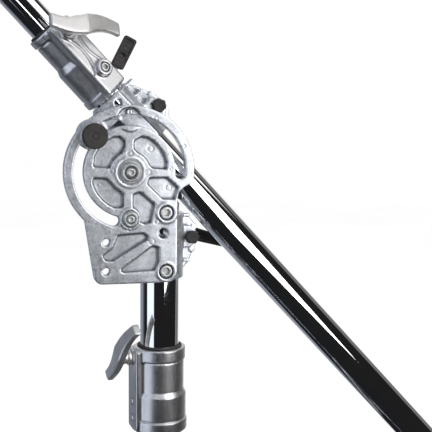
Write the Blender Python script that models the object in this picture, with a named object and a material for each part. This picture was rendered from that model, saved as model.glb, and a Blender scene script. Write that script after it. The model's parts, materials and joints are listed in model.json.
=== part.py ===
"""Boom lighting stand: folding tripod base, telescopic column, tilting head and telescopic boom.

Metres, +Z up.  The origin is the centre of the column's bottom face and the column is the Z axis.
The front of the tilting head faces -Y.  Head pieces are drawn in a frame whose origin is the tilt
pivot, boom pieces in the same frame turned so that local +Z runs up the boom.
"""
import math

import bmesh
import bpy
from mathutils import Matrix, Vector

MM = 0.001

# ---- driving dimensions, in millimetres -------------------------------------------------------
GAP = 0.3                    # clearance left between pieces that touch or pass each other
SLIDE_GAP = 0.4              # radial clearance of a tube in its guide

RISER_OUTER_R = 20.0         # sliding column tube
RISER_WALL = 2.0
COLUMN_WALL = 2.5
COLUMN_OUTER_R = RISER_OUTER_R + 1.5 + COLUMN_WALL   # base column tube
RISER_LENGTH = 694.0
BOOM_OUTER_R = 17.5          # outer boom tube
BOOM_WALL = 2.0
BOOM_REAR = 600.0            # outer boom tube behind the tilt pivot
INNER_OUTER_R = BOOM_OUTER_R - BOOM_WALL - 0.5       # inner boom tube
INNER_WALL = 1.8
INNER_REAR = 150.0           # inner boom tube behind the tilt pivot
INNER_FRONT = 690.0          # inner boom tube in front of the tilt pivot

PIVOT_HEIGHT = 1150.0        # tilt pivot above the column's bottom face
COLLAR_DROP = 189.0          # top of the column collar below the tilt pivot
TUBE_OFFSET = 38.0           # tilt pivot to the column axis, and to the boom axis
BOOM_RISE_DEG = 47.0         # slope of the boom above horizontal
BOOM_CLEARANCE = 2.634       # outer boom tube to the top edge of the riser

PLATE_THICK = 10.0
FACE_DEPTH = RISER_OUTER_R + 3.0 + PLATE_THICK       # tilt plate's front face to the tube axes
POCKET_DEPTH = 5.0
BOLT_SEAT = 5.0              # depth of the counterbores for the plate bolts
RING_OUTER_R = 66.5
SLOT_R = 52.0                # centre line of the arc slot
SLOT_HALF = 5.25
SLOT_START_DEG = -3.0
SLOT_END_DEG = 252.0
DISC_EDGE_R = 38.0           # outer side of the disc's pockets
HUB_EDGE_R = 22.0            # inner side of the disc's pockets
KNOB_DEG = 134.9             # tilt knob's place in the slot
KNOB_R = 12.7
KNOB_THICK = 8.5
KNOB_NECK = 3.6              # underside of the knob in front of the plate
STUD_R = 4.0

BRACKET_THICK = 4.5
BRACKET_HUB_R = 41.0
BRACKET_EDGE = 11.0          # bracket edge beyond the boom axis, and plate edge beyond the column
KNOB_BOSS_R = 15.5
CLAMP_WALL = 4.8
PIVOT_BOLT_R = 6.0
SCREW_R = 4.0                # M8 fasteners
HEX_FLAT = 13.0              # M8 hexagon across its flats
CLAMP_BOLT_OFFSET = RISER_OUTER_R + 11.5             # clamp bolt to the tube axis

LEG_R = 12.5
LEG_WALL = 1.5
LEG_LENGTH = 560.0
LINK = 240.0                 # leg pivot to brace pivot on the leg, and the brace's own length
LEG_SPREAD_DEG = 50.0        # leg from vertical when open
HINGE_R = COLUMN_OUTER_R + 26.0                      # leg and brace hinges to the column axis
BRACE_HINGE_HEIGHT = 30.0
EAR_THICK = 5.0
PIN_R = 4.0
BRACE_THICK = 4.0
BRACE_WIDTH = 18.0
FOOT_LENGTH = 34.0
FOOT_WALL = 4.0
LEG_HEADINGS_DEG = (200.0, 320.0, 80.0)

HANDLE_HALF = 40.0           # T-handle arm length
HANDLE_LEAN = 0.17           # how far the bar leans along its stem, per length
HANDLE_BEND = 0.06
HANDLE_RISE = 8.6            # underside of the bar's middle above its seat
HANDLE_SHIFT = 9.0           # bar's middle to its stem, along the bar
LEG_SEAT = 50.0              # leg handle's seat from the column axis, clear of the hinge pins
LEVER_LENGTH = 74.0
TAB_LENGTH = 34.0            # safety tab beside the boom collar
TAB_HEIGHT = 80.0            # its hinge along the boom from the pivot
TAB_LEAN_DEG = 20.0
TAB_WIDTH = 14.0
TAB_THICK = 4.0
SPIGOT_R = 8.0
SPIGOT_LENGTH = 70.0

ROUND = 24                   # sides of a large round piece
SMALL_ROUND = 10             # sides of a small round piece

# column collar, levels measured from its top: bottom, cap, lower and upper shoulder, cap, top
COLLAR_TOP = PIVOT_HEIGHT - COLLAR_DROP
COLLAR_LEVELS = (-90.0, -77.0, -51.0, -46.0, -13.7, 0.0)
COLLAR_RADII = (COLUMN_OUTER_R + 5.7, COLUMN_OUTER_R + 4.5, RISER_OUTER_R + 6.0, RISER_OUTER_R + 7.5)
COLLAR_PAD = RISER_OUTER_R + 11.0                    # flat pad to the column axis
COLLAR_STEM = -9.5
COLLAR_BOSS = 2.0            # boss under the column handle above the pad
COLLAR_HEADING_DEG = 188.0

# top of the riser below the tilt pivot, where its edge just clears the boom passing behind
RISER_DROP = ((TUBE_OFFSET + RISER_OUTER_R) * math.sin(math.radians(BOOM_RISE_DEG)) - TUBE_OFFSET
              + BOOM_OUTER_R + BOOM_CLEARANCE) / math.cos(math.radians(BOOM_RISE_DEG))

# tilt plate, positions measured from the pivot
PLATE_FRONT = -FACE_DEPTH
PLATE_BACK = PLATE_FRONT + PLATE_THICK
LOCK_NUT = (0.0, -47.3)
PLATE_BOLTS = ((37.5, -RISER_DROP - 6.2), (37.5, -102.9))
OPEN_HOLE = (34.2, -63.2)
SMALL_HOLES = ((-24.5, -71.0), (-24.6, -100.7))
PLATE_RIGHT = TUBE_OFFSET + BRACKET_EDGE
BRACKET_FRONT = PLATE_BACK + GAP
BRACKET_BACK = BRACKET_FRONT + BRACKET_THICK

# boom collar, levels measured along the boom from the pivot
BOOM_COLLAR_LEVELS = (67.6, 76.5, 112.0, 118.0, 146.5, 155.6)
BOOM_COLLAR_RADII = (BOOM_OUTER_R + 5.9, BOOM_OUTER_R + 4.9, INNER_OUTER_R + 5.0, INNER_OUTER_R + 6.3)
BOOM_PAD = INNER_OUTER_R + 13.0                      # flat pad to the boom axis
BOOM_PAD_HALF = 13.5
BOOM_PAD_TURN_DEG = -65.0
BOOM_STEM = 142.0
BOOM_BOSS = 10.0             # boss under the boom handle above the pad
BOOM_SCREW = 92.9


# ---- shape helpers ----------------------------------------------------------------------------
def clear_scene():
    for item in list(bpy.data.objects):
        bpy.data.objects.remove(item, do_unlink=True)


def make_material(name, color, roughness, metallic):
    material = bpy.data.materials.new(name)
    material.use_nodes = True
    shader = material.node_tree.nodes["Principled BSDF"]
    shader.inputs["Base Color"].default_value = (*color, 1.0)
    shader.inputs["Roughness"].default_value = roughness
    shader.inputs["Metallic"].default_value = metallic
    return material


def arc(center, radius, start_deg, end_deg, steps):
    """Points on a circle, both ends included."""
    points = []
    for index in range(steps + 1):
        angle = math.radians(start_deg + (end_deg - start_deg) * index / steps)
        points.append((center[0] + radius * math.cos(angle), center[1] + radius * math.sin(angle)))
    return points


def circle(center, radius, sides=SMALL_ROUND):
    return arc(center, radius, 0.0, 360.0 * (sides - 1) / sides, sides - 1)


def rounded(points, radius, steps=3):
    """A closed outline with each corner turned into an arc."""
    result = []
    count = len(points)
    for index in range(count):
        corner = Vector(points[index])
        before = Vector(points[index - 1]) - corner
        after = Vector(points[(index + 1) % count]) - corner
        half = before.angle(after) / 2.0
        reach = min(radius / math.tan(half), before.length * 0.45, after.length * 0.45)
        size = reach * math.tan(half)
        start = corner + before.normalized() * reach
        end = corner + after.normalized() * reach
        middle = corner + (before.normalized() + after.normalized()).normalized() * (size / math.sin(half))
        first = (start - middle)
        last = (end - middle)
        for step in range(steps + 1):
            blend = step / steps
            direction = first.slerp(last, blend)
            result.append(tuple(middle + direction))
    return result


def hull_of_circles(first, first_radius, second, second_radius, steps=10):
    """Outline round two circles, as a link or an ear has."""
    a = Vector(first)
    b = Vector(second)
    heading = math.degrees(math.atan2(b.y - a.y, b.x - a.x))
    lean = math.degrees(math.acos((first_radius - second_radius) / (b - a).length))
    back = arc(first, first_radius, heading + lean, heading + 360.0 - lean, steps)
    front = arc(second, second_radius, heading - lean, heading + lean, steps)
    return back + front


def body_from(vertices, faces):
    mesh = bpy.data.meshes.new("solid")
    mesh.from_pydata([tuple(c * MM for c in v) for v in vertices], [], faces)
    solid = bmesh.new()
    solid.from_mesh(mesh)
    bmesh.ops.recalc_face_normals(solid, faces=solid.faces)
    solid.to_mesh(mesh)
    solid.free()
    piece = bpy.data.objects.new("solid", mesh)
    bpy.context.scene.collection.objects.link(piece)
    return piece


def prism(outline, low, high, along="Y"):
    """An outline of (across, up) points carried from low to high along an axis."""
    def place(point, depth):
        if along == "Y":
            return (point[0], depth, point[1])
        if along == "Z":
            return (point[0], point[1], depth)
        return (depth, point[0], point[1])
    count = len(outline)
    vertices = [place(p, low) for p in outline] + [place(p, high) for p in outline]
    faces = [tuple(range(count)), tuple(range(2 * count - 1, count - 1, -1))]
    for index in range(count):
        after = (index + 1) % count
        faces.append((index, after, after + count, index + count))
    return body_from(vertices, faces)


def block(low, high):
    outline = [(low[0], low[1]), (high[0], low[1]), (high[0], high[1]), (low[0], high[1])]
    return prism(outline, low[2], high[2], "Z")


def turned(profile, sides=ROUND, closed=True):
    """A profile of (radius, height) points spun about Z; an open profile ends on the axis."""
    vertices = []
    rings = []
    for radius, height in profile:
        if radius < 1e-6:
            rings.append([len(vertices)] * sides)
            vertices.append((0.0, 0.0, height))
            continue
        rings.append(list(range(len(vertices), len(vertices) + sides)))
        for index in range(sides):
            angle = 2.0 * math.pi * index / sides
            vertices.append((radius * math.cos(angle), radius * math.sin(angle), height))
    faces = []
    pairs = list(zip(rings, rings[1:] + rings[:1])) if closed else list(zip(rings, rings[1:]))
    for lower, upper in pairs:
        for index in range(sides):
            after = (index + 1) % sides
            corners = [lower[index], lower[after], upper[after], upper[index]]
            face = [c for place, c in enumerate(corners) if corners.index(c) == place]
            if len(face) > 2:
                faces.append(tuple(face))
    return body_from(vertices, faces)


def rod(radius, low, high, sides=SMALL_ROUND, chamfer=0.0):
    profile = [(0.0, low), (radius, low), (radius, high), (0.0, high)]
    if chamfer > 0.0:
        profile = [(0.0, low), (radius - chamfer, low), (radius, low + chamfer),
                   (radius, high - chamfer), (radius - chamfer, high), (0.0, high)]
    return turned(profile, sides, closed=False)


def tube(outer, inner, low, high, sides=ROUND):
    return turned([(inner, low), (outer, low), (outer, high), (inner, high)], sides)


def hexagon(flat, low, high):
    corner = flat / math.sqrt(3.0)
    return prism(arc((0.0, 0.0), corner, 30.0, 330.0, 5), low, high, "Z")


def shift(piece, matrix):
    piece.data.transform(matrix)
    return piece


def moved(piece, x=0.0, y=0.0, z=0.0):
    return shift(piece, Matrix.Translation((x * MM, y * MM, z * MM)))


def turn(piece, degrees, axis):
    return shift(piece, Matrix.Rotation(math.radians(degrees), 4, axis))


def facing_front(piece):
    """Lays a piece that was made along +Z so that its top faces -Y."""
    return turn(piece, 90.0, "X")


def combine(piece, others, operation):
    for other in others:
        modifier = piece.modifiers.new("Combine", "BOOLEAN")
        modifier.operation = operation
        modifier.solver = "EXACT"
        modifier.object = other
        graph = bpy.context.evaluated_depsgraph_get()
        result = bpy.data.meshes.new_from_object(piece.evaluated_get(graph))
        piece.modifiers.clear()
        piece.data = merged(result)
        bpy.data.objects.remove(other, do_unlink=True)
    return piece


def merged(mesh):
    """Joins the doubled points that a Boolean leaves."""
    solid = bmesh.new()
    solid.from_mesh(mesh)
    bmesh.ops.remove_doubles(solid, verts=solid.verts, dist=1e-6)
    solid.to_mesh(mesh)
    solid.free()
    return mesh


def cut(piece, *others):
    return combine(piece, others, "DIFFERENCE")


def join(piece, *others):
    return combine(piece, others, "UNION")


def frame(name, parent=None, place=(0.0, 0.0, 0.0), turn_deg=(0.0, 0.0, 0.0)):
    empty = bpy.data.objects.new(name, None)
    bpy.context.scene.collection.objects.link(empty)
    empty.parent = parent
    empty.location = [c * MM for c in place]
    empty.rotation_euler = [math.radians(c) for c in turn_deg]
    return empty


def finish(piece, name, parent, material):
    flat = bmesh.new()
    flat.from_mesh(piece.data)
    bmesh.ops.dissolve_limit(flat, angle_limit=1e-4, verts=flat.verts, edges=flat.edges)
    bmesh.ops.triangulate(flat, faces=[f for f in flat.faces if len(f.verts) > 4])
    flat.to_mesh(piece.data)
    flat.free()
    piece.name = name
    piece.data.name = name
    piece.parent = parent
    piece.data.materials.clear()
    piece.data.materials.append(material)
    piece.data.shade_smooth()
    piece.data.set_sharp_from_angle(angle=math.radians(35.0))


# ---- fasteners and handles --------------------------------------------------------------------
def hex_bolt(length, shank_r=SCREW_R):
    """Hexagon bolt along Z, under-head face at 0 and shank downwards."""
    head = hexagon(HEX_FLAT, 0.0, 5.3)
    return join(head, rod(shank_r, -length, 1.0))


def socket_bolt(length, head_r=6.5, head=8.0, shank_r=SCREW_R):
    """Socket-head bolt along Z, under-head face at 0 and shank downwards."""
    body = join(rod(head_r, 0.0, head, chamfer=0.6), rod(shank_r, -length, 1.0))
    return cut(body, hexagon(head_r, head - 4.0, head + 2.0))


def ring_nut(hole_r, outer_r, height):
    """Collared lock nut along Z from 0 to its height."""
    return turned([(hole_r, 0.0), (outer_r, 0.0), (outer_r, height * 0.6),
                   (outer_r - 1.2, height), (hole_r, height)], 16)


def t_handle():
    """Cast T-handle about +Z: flange at 0, bar across local X, one arm leaning in, one leaning out."""
    stations = 7
    sides = 8
    vertices = []
    for station in range(stations):
        u = -1.0 + 2.0 * station / (stations - 1)
        reach = HANDLE_HALF * u
        waist = 1.0 - abs(u)
        half_width = 6.2 + 3.6 * waist ** 1.4
        half_thick = 3.6 + 1.0 * waist
        height = HANDLE_RISE - HANDLE_LEAN * reach - HANDLE_BEND * abs(reach) + half_thick
        sway = 3.2 * math.sin(math.pi * u)
        for side in range(sides):
            angle = 2.0 * math.pi * (side + 0.5) / sides
            across = math.copysign(abs(math.cos(angle)) ** 0.5, math.cos(angle))
            up = math.copysign(abs(math.sin(angle)) ** 0.5, math.sin(angle))
            vertices.append((reach + HANDLE_SHIFT, sway + half_width * across, height + half_thick * up))
    faces = [tuple(range(sides)), tuple(range((stations - 1) * sides, stations * sides))]
    for station in range(stations - 1):
        for side in range(sides):
            after = (side + 1) % sides
            base = station * sides
            faces.append((base + side, base + after, base + after + sides, base + side + sides))
    bar = body_from(vertices, faces)
    neck = turned([(0.0, 0.0), (8.5, 0.0), (8.5, 3.0), (6.8, 5.0), (6.5, HANDLE_RISE + 5.0),
                   (0.0, HANDLE_RISE + 5.0)], SMALL_ROUND, closed=False)
    handle = join(bar, neck)
    return cut(handle, rod(STUD_R + GAP, -1.0, 8.0))


def handle_stud(depth):
    """Threaded stud along Z that the handle turns, from inside the collar up into the handle."""
    return rod(STUD_R, -depth, 7.6, chamfer=0.5)


# ---- clamping collars -------------------------------------------------------------------------
def collar_casting(levels, radii, tube_r, guide_r, pad_distance, pad_half, pad_levels, stem, boss_height,
                   screw):
    """Two-step collar about Z with end caps and a flat pad facing +X.

    levels: bottom, bottom cap, lower shoulder, upper shoulder, top cap, top.
    radii: bottom cap, lower body, upper body, top cap.
    """
    bottom, cap_low, step_low, step_high, cap_high, top = levels
    cap_low_r, lower_r, upper_r, cap_high_r = radii
    groove = 0.8
    profile = [
        (tube_r, bottom), (cap_low_r, bottom), (cap_low_r, cap_low - groove), (lower_r, cap_low),
        (lower_r, step_low), (upper_r, step_high), (upper_r, cap_high),
        (cap_high_r, cap_high + groove), (cap_high_r, top), (guide_r, top), (guide_r, step_low),
        (tube_r, step_low),
    ]
    body = turned(profile, ROUND)
    flat = rounded([(-pad_half, pad_levels[0]), (pad_half, pad_levels[0]),
                    (pad_half, pad_levels[1]), (-pad_half, pad_levels[1])], 3.0, 1)
    pad = prism(flat, guide_r + 2.0, pad_distance, "X")
    bore = join(rod(guide_r, bottom - 5.0, top + 5.0, ROUND), rod(tube_r, bottom - 6.0, step_low, ROUND))
    pad = cut(pad, bore)
    body = join(body, pad)
    boss = turn(rod(8.5, guide_r + 3.0, pad_distance + boss_height), 90.0, "Y")
    body = join(body, moved(boss, z=stem))
    hole = turn(rod(STUD_R + GAP, 0.0, pad_distance + 20.0), 90.0, "Y")
    body = cut(body, moved(hole, z=stem))
    if screw is not None:
        boss = turn(rod(8.3, guide_r + 3.0, pad_distance + 8.0, chamfer=0.8), 90.0, "Y")
        seat = turned([(0.0, 0.0), (SCREW_R + GAP, 0.0), (SCREW_R + GAP, pad_distance + 3.0),
                       (5.0, pad_distance + 3.0), (5.0, pad_distance + 20.0),
                       (0.0, pad_distance + 20.0)], SMALL_ROUND, closed=False)
        body = join(body, moved(boss, z=screw))
        body = cut(body, moved(turn(seat, 90.0, "Y"), z=screw))
    return body


def collar_bush(inner_r, outer_r, low, high, lip_r, lip):
    """Plastic guide bush with a lip on top of the collar."""
    return turned([(inner_r, low), (outer_r, low), (outer_r, high), (lip_r, high),
                   (lip_r, high + lip), (inner_r, high + lip)], ROUND)


# ---- base -------------------------------------------------------------------------------------
def build_base(root, look):
    inner_r = COLUMN_OUTER_R - COLUMN_WALL
    column = tube(COLUMN_OUTER_R, inner_r, 0.0, COLLAR_TOP + COLLAR_LEVELS[2] - GAP)
    finish(column, "base_column", root, look["chrome"])

    plug = rod(inner_r - GAP, 0.0, 26.0, ROUND, chamfer=1.0)
    finish(plug, "column_foot_plug", root, look["plastic"])

    hub = turned([(COLUMN_OUTER_R + GAP, 4.0), (32.0, 4.0), (34.0, 8.0), (34.0, 46.0), (31.0, 54.0),
                  (COLUMN_OUTER_R + GAP, 54.0)], ROUND)
    lug_half = LEG_R + 1.0 + EAR_THICK - BRACE_THICK - 2.0 * GAP
    for heading in LEG_HEADINGS_DEG:
        ear = prism(hull_of_circles((36.0, BRACE_HINGE_HEIGHT), 12.0, (HINGE_R, BRACE_HINGE_HEIGHT),
                                    9.0, 6), -lug_half, lug_half)
        ear = cut(ear, rod(COLUMN_OUTER_R + 4.0, 0.0, 60.0, ROUND))
        hub = join(hub, turn(ear, heading, "Z"))
    for heading in LEG_HEADINGS_DEG:
        hole = moved(facing_front(rod(PIN_R + GAP, -40.0, 40.0)), x=HINGE_R, z=BRACE_HINGE_HEIGHT)
        hub = cut(hub, turn(hole, heading, "Z"))
    finish(hub, "brace_hub", root, look["casting"])

    for number, heading in enumerate(LEG_HEADINGS_DEG, start=1):
        pin = moved(facing_front(hinge_pin()), x=HINGE_R, z=BRACE_HINGE_HEIGHT)
        finish(turn(pin, heading, "Z"), f"brace_pin_{number}", root, look["steel"])


def hinge_pin():
    half = LEG_R + 1.0 + EAR_THICK + GAP
    pin = rod(PIN_R, -half - 1.0, half + 1.0)
    for side in (-1.0, 1.0):
        low = min(side * half, side * (half + 3.0))
        pin = join(pin, rod(7.0, low, low + 3.0))
    return pin


def open_leg_height():
    return BRACE_HINGE_HEIGHT + 2.0 * LINK * math.cos(math.radians(LEG_SPREAD_DEG))


def build_leg_carrier(root, look):
    """Sliding collar that carries the legs, with its own T-handle."""
    height = open_leg_height()
    carrier = frame("leg_carrier_frame", root, (0.0, 0.0, height))
    bush_r = COLUMN_OUTER_R + 2.0
    collar = turned([(bush_r + GAP, -24.0), (31.0, -24.0), (33.0, -21.0), (33.0, 10.0), (31.0, 14.0),
                     (31.0, 34.0), (29.0, 36.0), (COLUMN_OUTER_R + SLIDE_GAP, 36.0),
                     (COLUMN_OUTER_R + SLIDE_GAP, 30.0), (bush_r + GAP, 30.0)], ROUND)
    ear_low = LEG_R + 1.0
    for heading in LEG_HEADINGS_DEG:
        for side in (-1.0, 1.0):
            low = min(side * ear_low, side * (ear_low + EAR_THICK))
            ear = prism(hull_of_circles((34.0, -4.0), 15.0, (HINGE_R, 0.0), 9.0, 6), low,
                        low + EAR_THICK)
            ear = cut(ear, rod(bush_r + 3.0, -60.0, 60.0, ROUND))
            collar = join(collar, turn(ear, heading, "Z"))
    for heading in LEG_HEADINGS_DEG:
        hole = moved(facing_front(rod(PIN_R + GAP, -40.0, 40.0)), x=HINGE_R)
        collar = cut(collar, turn(hole, heading, "Z"))
    heading = leg_handle_heading()
    boss = turn(rod(10.0, bush_r + 2.0, LEG_SEAT), 90.0, "Y")
    collar = join(collar, turn(moved(boss, z=17.0), heading, "Z"))
    hole = turn(rod(STUD_R + GAP, 0.0, 60.0), 90.0, "Y")
    collar = cut(collar, turn(moved(hole, z=17.0), heading, "Z"))
    finish(collar, "leg_collar", carrier, look["casting"])

    bush = tube(bush_r, COLUMN_OUTER_R + SLIDE_GAP, -23.5, 29.6)
    window = turn(rod(STUD_R + 2.0, 0.0, 60.0), 90.0, "Y")
    bush = cut(bush, turn(moved(window, z=17.0), heading, "Z"))
    finish(bush, "leg_collar_bush", carrier, look["plastic"])

    for number, leg_heading in enumerate(LEG_HEADINGS_DEG, start=1):
        pin = moved(facing_front(hinge_pin()), x=HINGE_R)
        finish(turn(pin, leg_heading, "Z"), f"leg_pin_{number}", carrier, look["steel"])

    knob_frame = frame("leg_handle_frame", carrier, (0.0, 0.0, 17.0), (0.0, 90.0, heading))
    handle = moved(turn(t_handle(), 25.0, "Z"), z=LEG_SEAT + GAP)
    finish(handle, "leg_collar_handle", knob_frame, look["handle"])
    stud = moved(handle_stud(LEG_SEAT - COLUMN_OUTER_R - 1.0), z=LEG_SEAT)
    finish(stud, "leg_handle_stud", knob_frame, look["steel"])
    return carrier


def leg_handle_heading():
    return (LEG_HEADINGS_DEG[0] + LEG_HEADINGS_DEG[1]) / 2.0


def build_legs(root, carrier, look):
    reach = LEG_LENGTH - FOOT_WALL
    for number, heading in enumerate(LEG_HEADINGS_DEG, start=1):
        spoke = frame(f"leg_spoke_{number}", carrier, turn_deg=(0.0, 0.0, heading))
        hinge = frame(f"leg_hinge_{number}", spoke, (HINGE_R, 0.0, 0.0), (0.0, -LEG_SPREAD_DEG, 0.0))
        leg = tube(LEG_R, LEG_R - LEG_WALL, -reach, 10.0, 20)
        leg = cut(leg, facing_front(rod(PIN_R + GAP, -40.0, 40.0)))
        finish(leg, f"leg_tube_{number}", hinge, look["chrome"])
        sole = LEG_R + FOOT_WALL
        foot = turned([(0.0, -LEG_LENGTH), (sole - 4.0, -LEG_LENGTH), (sole, -LEG_LENGTH + 5.0),
                       (sole, -LEG_LENGTH + FOOT_LENGTH), (LEG_R + GAP, -LEG_LENGTH + FOOT_LENGTH),
                       (LEG_R + GAP, -reach - GAP), (0.0, -reach - GAP)], 20, closed=False)
        finish(foot, f"leg_foot_{number}", hinge, look["rubber"])

        brace_frame = frame(f"brace_spoke_{number}", root, turn_deg=(0.0, 0.0, heading))
        lower = frame(f"brace_hinge_{number}", brace_frame, (HINGE_R, 0.0, BRACE_HINGE_HEIGHT),
                      (0.0, LEG_SPREAD_DEG, 0.0))
        finish(brace(), f"brace_{number}", lower, look["painted"])


def brace():
    """A pair of flat bars that pass either side of the leg, tied by one cross rod."""
    outline = hull_of_circles((0.0, 0.0), BRACE_WIDTH / 2.0, (0.0, LINK), BRACE_WIDTH / 2.0 - 0.5, 6)
    low = LEG_R + 1.0 + EAR_THICK - BRACE_THICK
    pair = []
    for side in (-1.0, 1.0):
        start = min(side * low, side * (low + BRACE_THICK))
        bar = prism(outline, start, start + BRACE_THICK)
        bar = cut(bar, facing_front(rod(PIN_R + GAP, -40.0, 40.0)))
        pair.append(bar)
    tie = moved(facing_front(rod(4.5, -low - 1.0, low + 1.0)), z=62.0)
    braced = join(join(pair[0], tie), pair[1])
    for side in (-1.0, 1.0):
        start = min(side * (low + BRACE_THICK - 0.5), side * (low + BRACE_THICK + 2.5))
        rivet = moved(facing_front(rod(6.5, -start - 3.0, -start)), z=LINK)
        braced = join(braced, rivet)
    return braced


# ---- column collar, riser and head ------------------------------------------------------------


def build_column_collar(root, look):
    place = frame("collar_frame", root, (0.0, 0.0, COLLAR_TOP), (0.0, 0.0, COLLAR_HEADING_DEG))
    guide_r = RISER_OUTER_R + 2.4
    collar = collar_casting(COLLAR_LEVELS, COLLAR_RADII, COLUMN_OUTER_R + GAP, guide_r, COLLAR_PAD,
                            13.0, (-88.0, -1.0), COLLAR_STEM, COLLAR_BOSS, None)
    for level in (-58.0, -76.0):
        bump = turn(rod(4.0, COLLAR_PAD - 2.0, COLLAR_PAD + 1.4, chamfer=0.5), 90.0, "Y")
        collar = join(collar, moved(bump, z=level))
    finish(collar, "column_collar", place, look["casting"])

    inner_r = RISER_OUTER_R + SLIDE_GAP
    bush = collar_bush(inner_r, guide_r - GAP, COLLAR_LEVELS[2] + GAP, GAP, guide_r + 0.6, 1.0)
    window = moved(turn(rod(STUD_R + 1.0, 0.0, 60.0), 90.0, "Y"), z=COLLAR_STEM)
    finish(cut(bush, window), "column_collar_bush", place, look["plastic"])

    stem = frame("column_handle_frame", place, (0.0, 0.0, COLLAR_STEM), (0.0, 90.0, 0.0))
    seat = COLLAR_PAD + COLLAR_BOSS
    handle = moved(turn(t_handle(), 140.3, "Z"), z=seat + GAP)
    finish(handle, "column_handle", stem, look["handle"])
    stud = moved(handle_stud(seat - RISER_OUTER_R - 1.0), z=seat)
    finish(stud, "column_handle_stud", stem, look["steel"])


def build_riser(root, look):
    """Sliding tube: its guide plug only slides, the tube and the head also turn."""
    slide = frame("riser_slide_frame", root, (0.0, 0.0, COLLAR_TOP))
    top = COLLAR_DROP - RISER_DROP
    bottom = top - RISER_LENGTH
    inner_r = RISER_OUTER_R - RISER_WALL
    plug = turned([(0.0, bottom - 14.0), (COLUMN_OUTER_R - COLUMN_WALL - GAP, bottom - 14.0),
                   (COLUMN_OUTER_R - COLUMN_WALL - GAP, bottom - GAP), (inner_r - GAP, bottom - GAP),
                   (inner_r - GAP, bottom + 24.0), (0.0, bottom + 24.0)], ROUND, closed=False)
    finish(plug, "riser_guide_plug", slide, look["plastic"])
    pan = frame("pan_frame", slide)
    riser = tube(RISER_OUTER_R, inner_r, bottom, top)
    finish(riser, "riser_tube", pan, look["chrome"])
    cap = turned([(0.0, top - 12.0), (inner_r - GAP, top - 12.0), (inner_r - GAP, top + GAP),
                  (RISER_OUTER_R - 0.6, top + GAP), (RISER_OUTER_R - 1.4, top + 2.0), (0.0, top + 2.0)],
                 ROUND, closed=False)
    finish(cap, "riser_top_plug", pan, look["plastic"])
    return pan


def plate_outline():
    """Ring, its blunt end on the right and the tapered lower plate, as one outline."""
    outline = arc((0.0, 0.0), RING_OUTER_R, -8.0, 222.0, 32)
    outline += [(-45.6, -49.0)]
    outline += arc((-27.9, -104.6), 9.0, 190.0, 270.0, 6)
    outline += arc(PLATE_BOLTS[1], PLATE_RIGHT - PLATE_BOLTS[1][0], 275.0, 360.0, 8)
    outline += [(PLATE_RIGHT, -29.0), (PLATE_RIGHT + 1.0, -22.0), (54.8, -17.1), (61.3, -13.6)]
    return outline


def slot_outline(center_r, half, start_deg, end_deg, steps):
    start = arc((0.0, 0.0), center_r, start_deg, start_deg, 1)[0]
    end = arc((0.0, 0.0), center_r, end_deg, end_deg, 1)[0]
    outer = arc((0.0, 0.0), center_r + half, start_deg, end_deg, steps)
    round_end = arc(end, half, end_deg, end_deg + 180.0, 8)[1:-1]
    inner = arc((0.0, 0.0), center_r - half, end_deg, start_deg, steps)
    round_start = arc(start, half, start_deg + 180.0, start_deg + 360.0, 8)[1:-1]
    return outer + round_end + inner + round_start


def pocket_outlines():
    """Recesses between the ribs of the tilt plate."""
    edge = DISC_EDGE_R
    hub = HUB_EDGE_R
    upper_left = arc((0, 0), edge, 106.0, 165.0, 5) + [(-36.6, 5.6), (-21.2, 5.6)]
    upper_left += arc((0, 0), hub, 161.0, 116.0, 3) + [(-5.0, 24.7), (-4.6, 31.0)]
    upper_right = [(37.3, 4.6), (36.4, 3.2)] + arc((0, 0), hub, 8.0, 80.0, 4)
    upper_right += [(3.8, 31.8)] + arc((0, 0), edge, 72.0, 14.0, 5)
    lower_left = [(-37.4, -5.6), (-23.0, -5.6)] + arc((0, 0), hub + 0.6, 214.0, 254.0, 3)
    lower_left += [(-6.2, -34.6), (-9.8, -36.6)] + arc((0, 0), edge, 256.0, 196.0, 5)[1:]
    lower_mid = [(2.7, -21.8), (11.1, -19.9), (26.0, -33.0), (21.6, -52.3), (14.3, -53.6),
                 (9.8, -48.6), (2.7, -35.6)]
    lower_right = [(19.5, -5.6), (38.4, -5.6), (50.4, -16.6), (46.4, -29.0), (33.2, -28.4),
                   (17.3, -12.8)]
    slant = [(-13.4, -63.2), (14.1, -61.7), (18.9, -66.2), (18.0, -69.3), (-17.4, -90.3),
             (-25.2, -89.7), (-29.0, -82.4), (-21.3, -80.4), (-15.8, -79.0), (-13.5, -74.5)]
    corner = [(22.8, -75.4), (30.0, -76.8), (30.4, -92.0), (25.6, -101.6), (-7.3, -102.6),
              (-9.5, -99.0)]
    return {"upper_left": upper_left, "upper_right": upper_right, "lower_left": lower_left,
            "lower_mid": lower_mid, "lower_right": lower_right, "slant": slant, "corner": corner}


def counterbore(center, hole_r, seat_r, depth):
    """Cutter for a hole through the plate with a round seat in its front face."""
    cutter = turned([(0.0, -PLATE_THICK - 5.0), (hole_r, -PLATE_THICK - 5.0), (hole_r, -depth),
                     (seat_r, -depth), (seat_r, 5.0), (0.0, 5.0)], 16, closed=False)
    return moved(facing_front(cutter), x=center[0], y=PLATE_FRONT, z=center[1])


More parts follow.
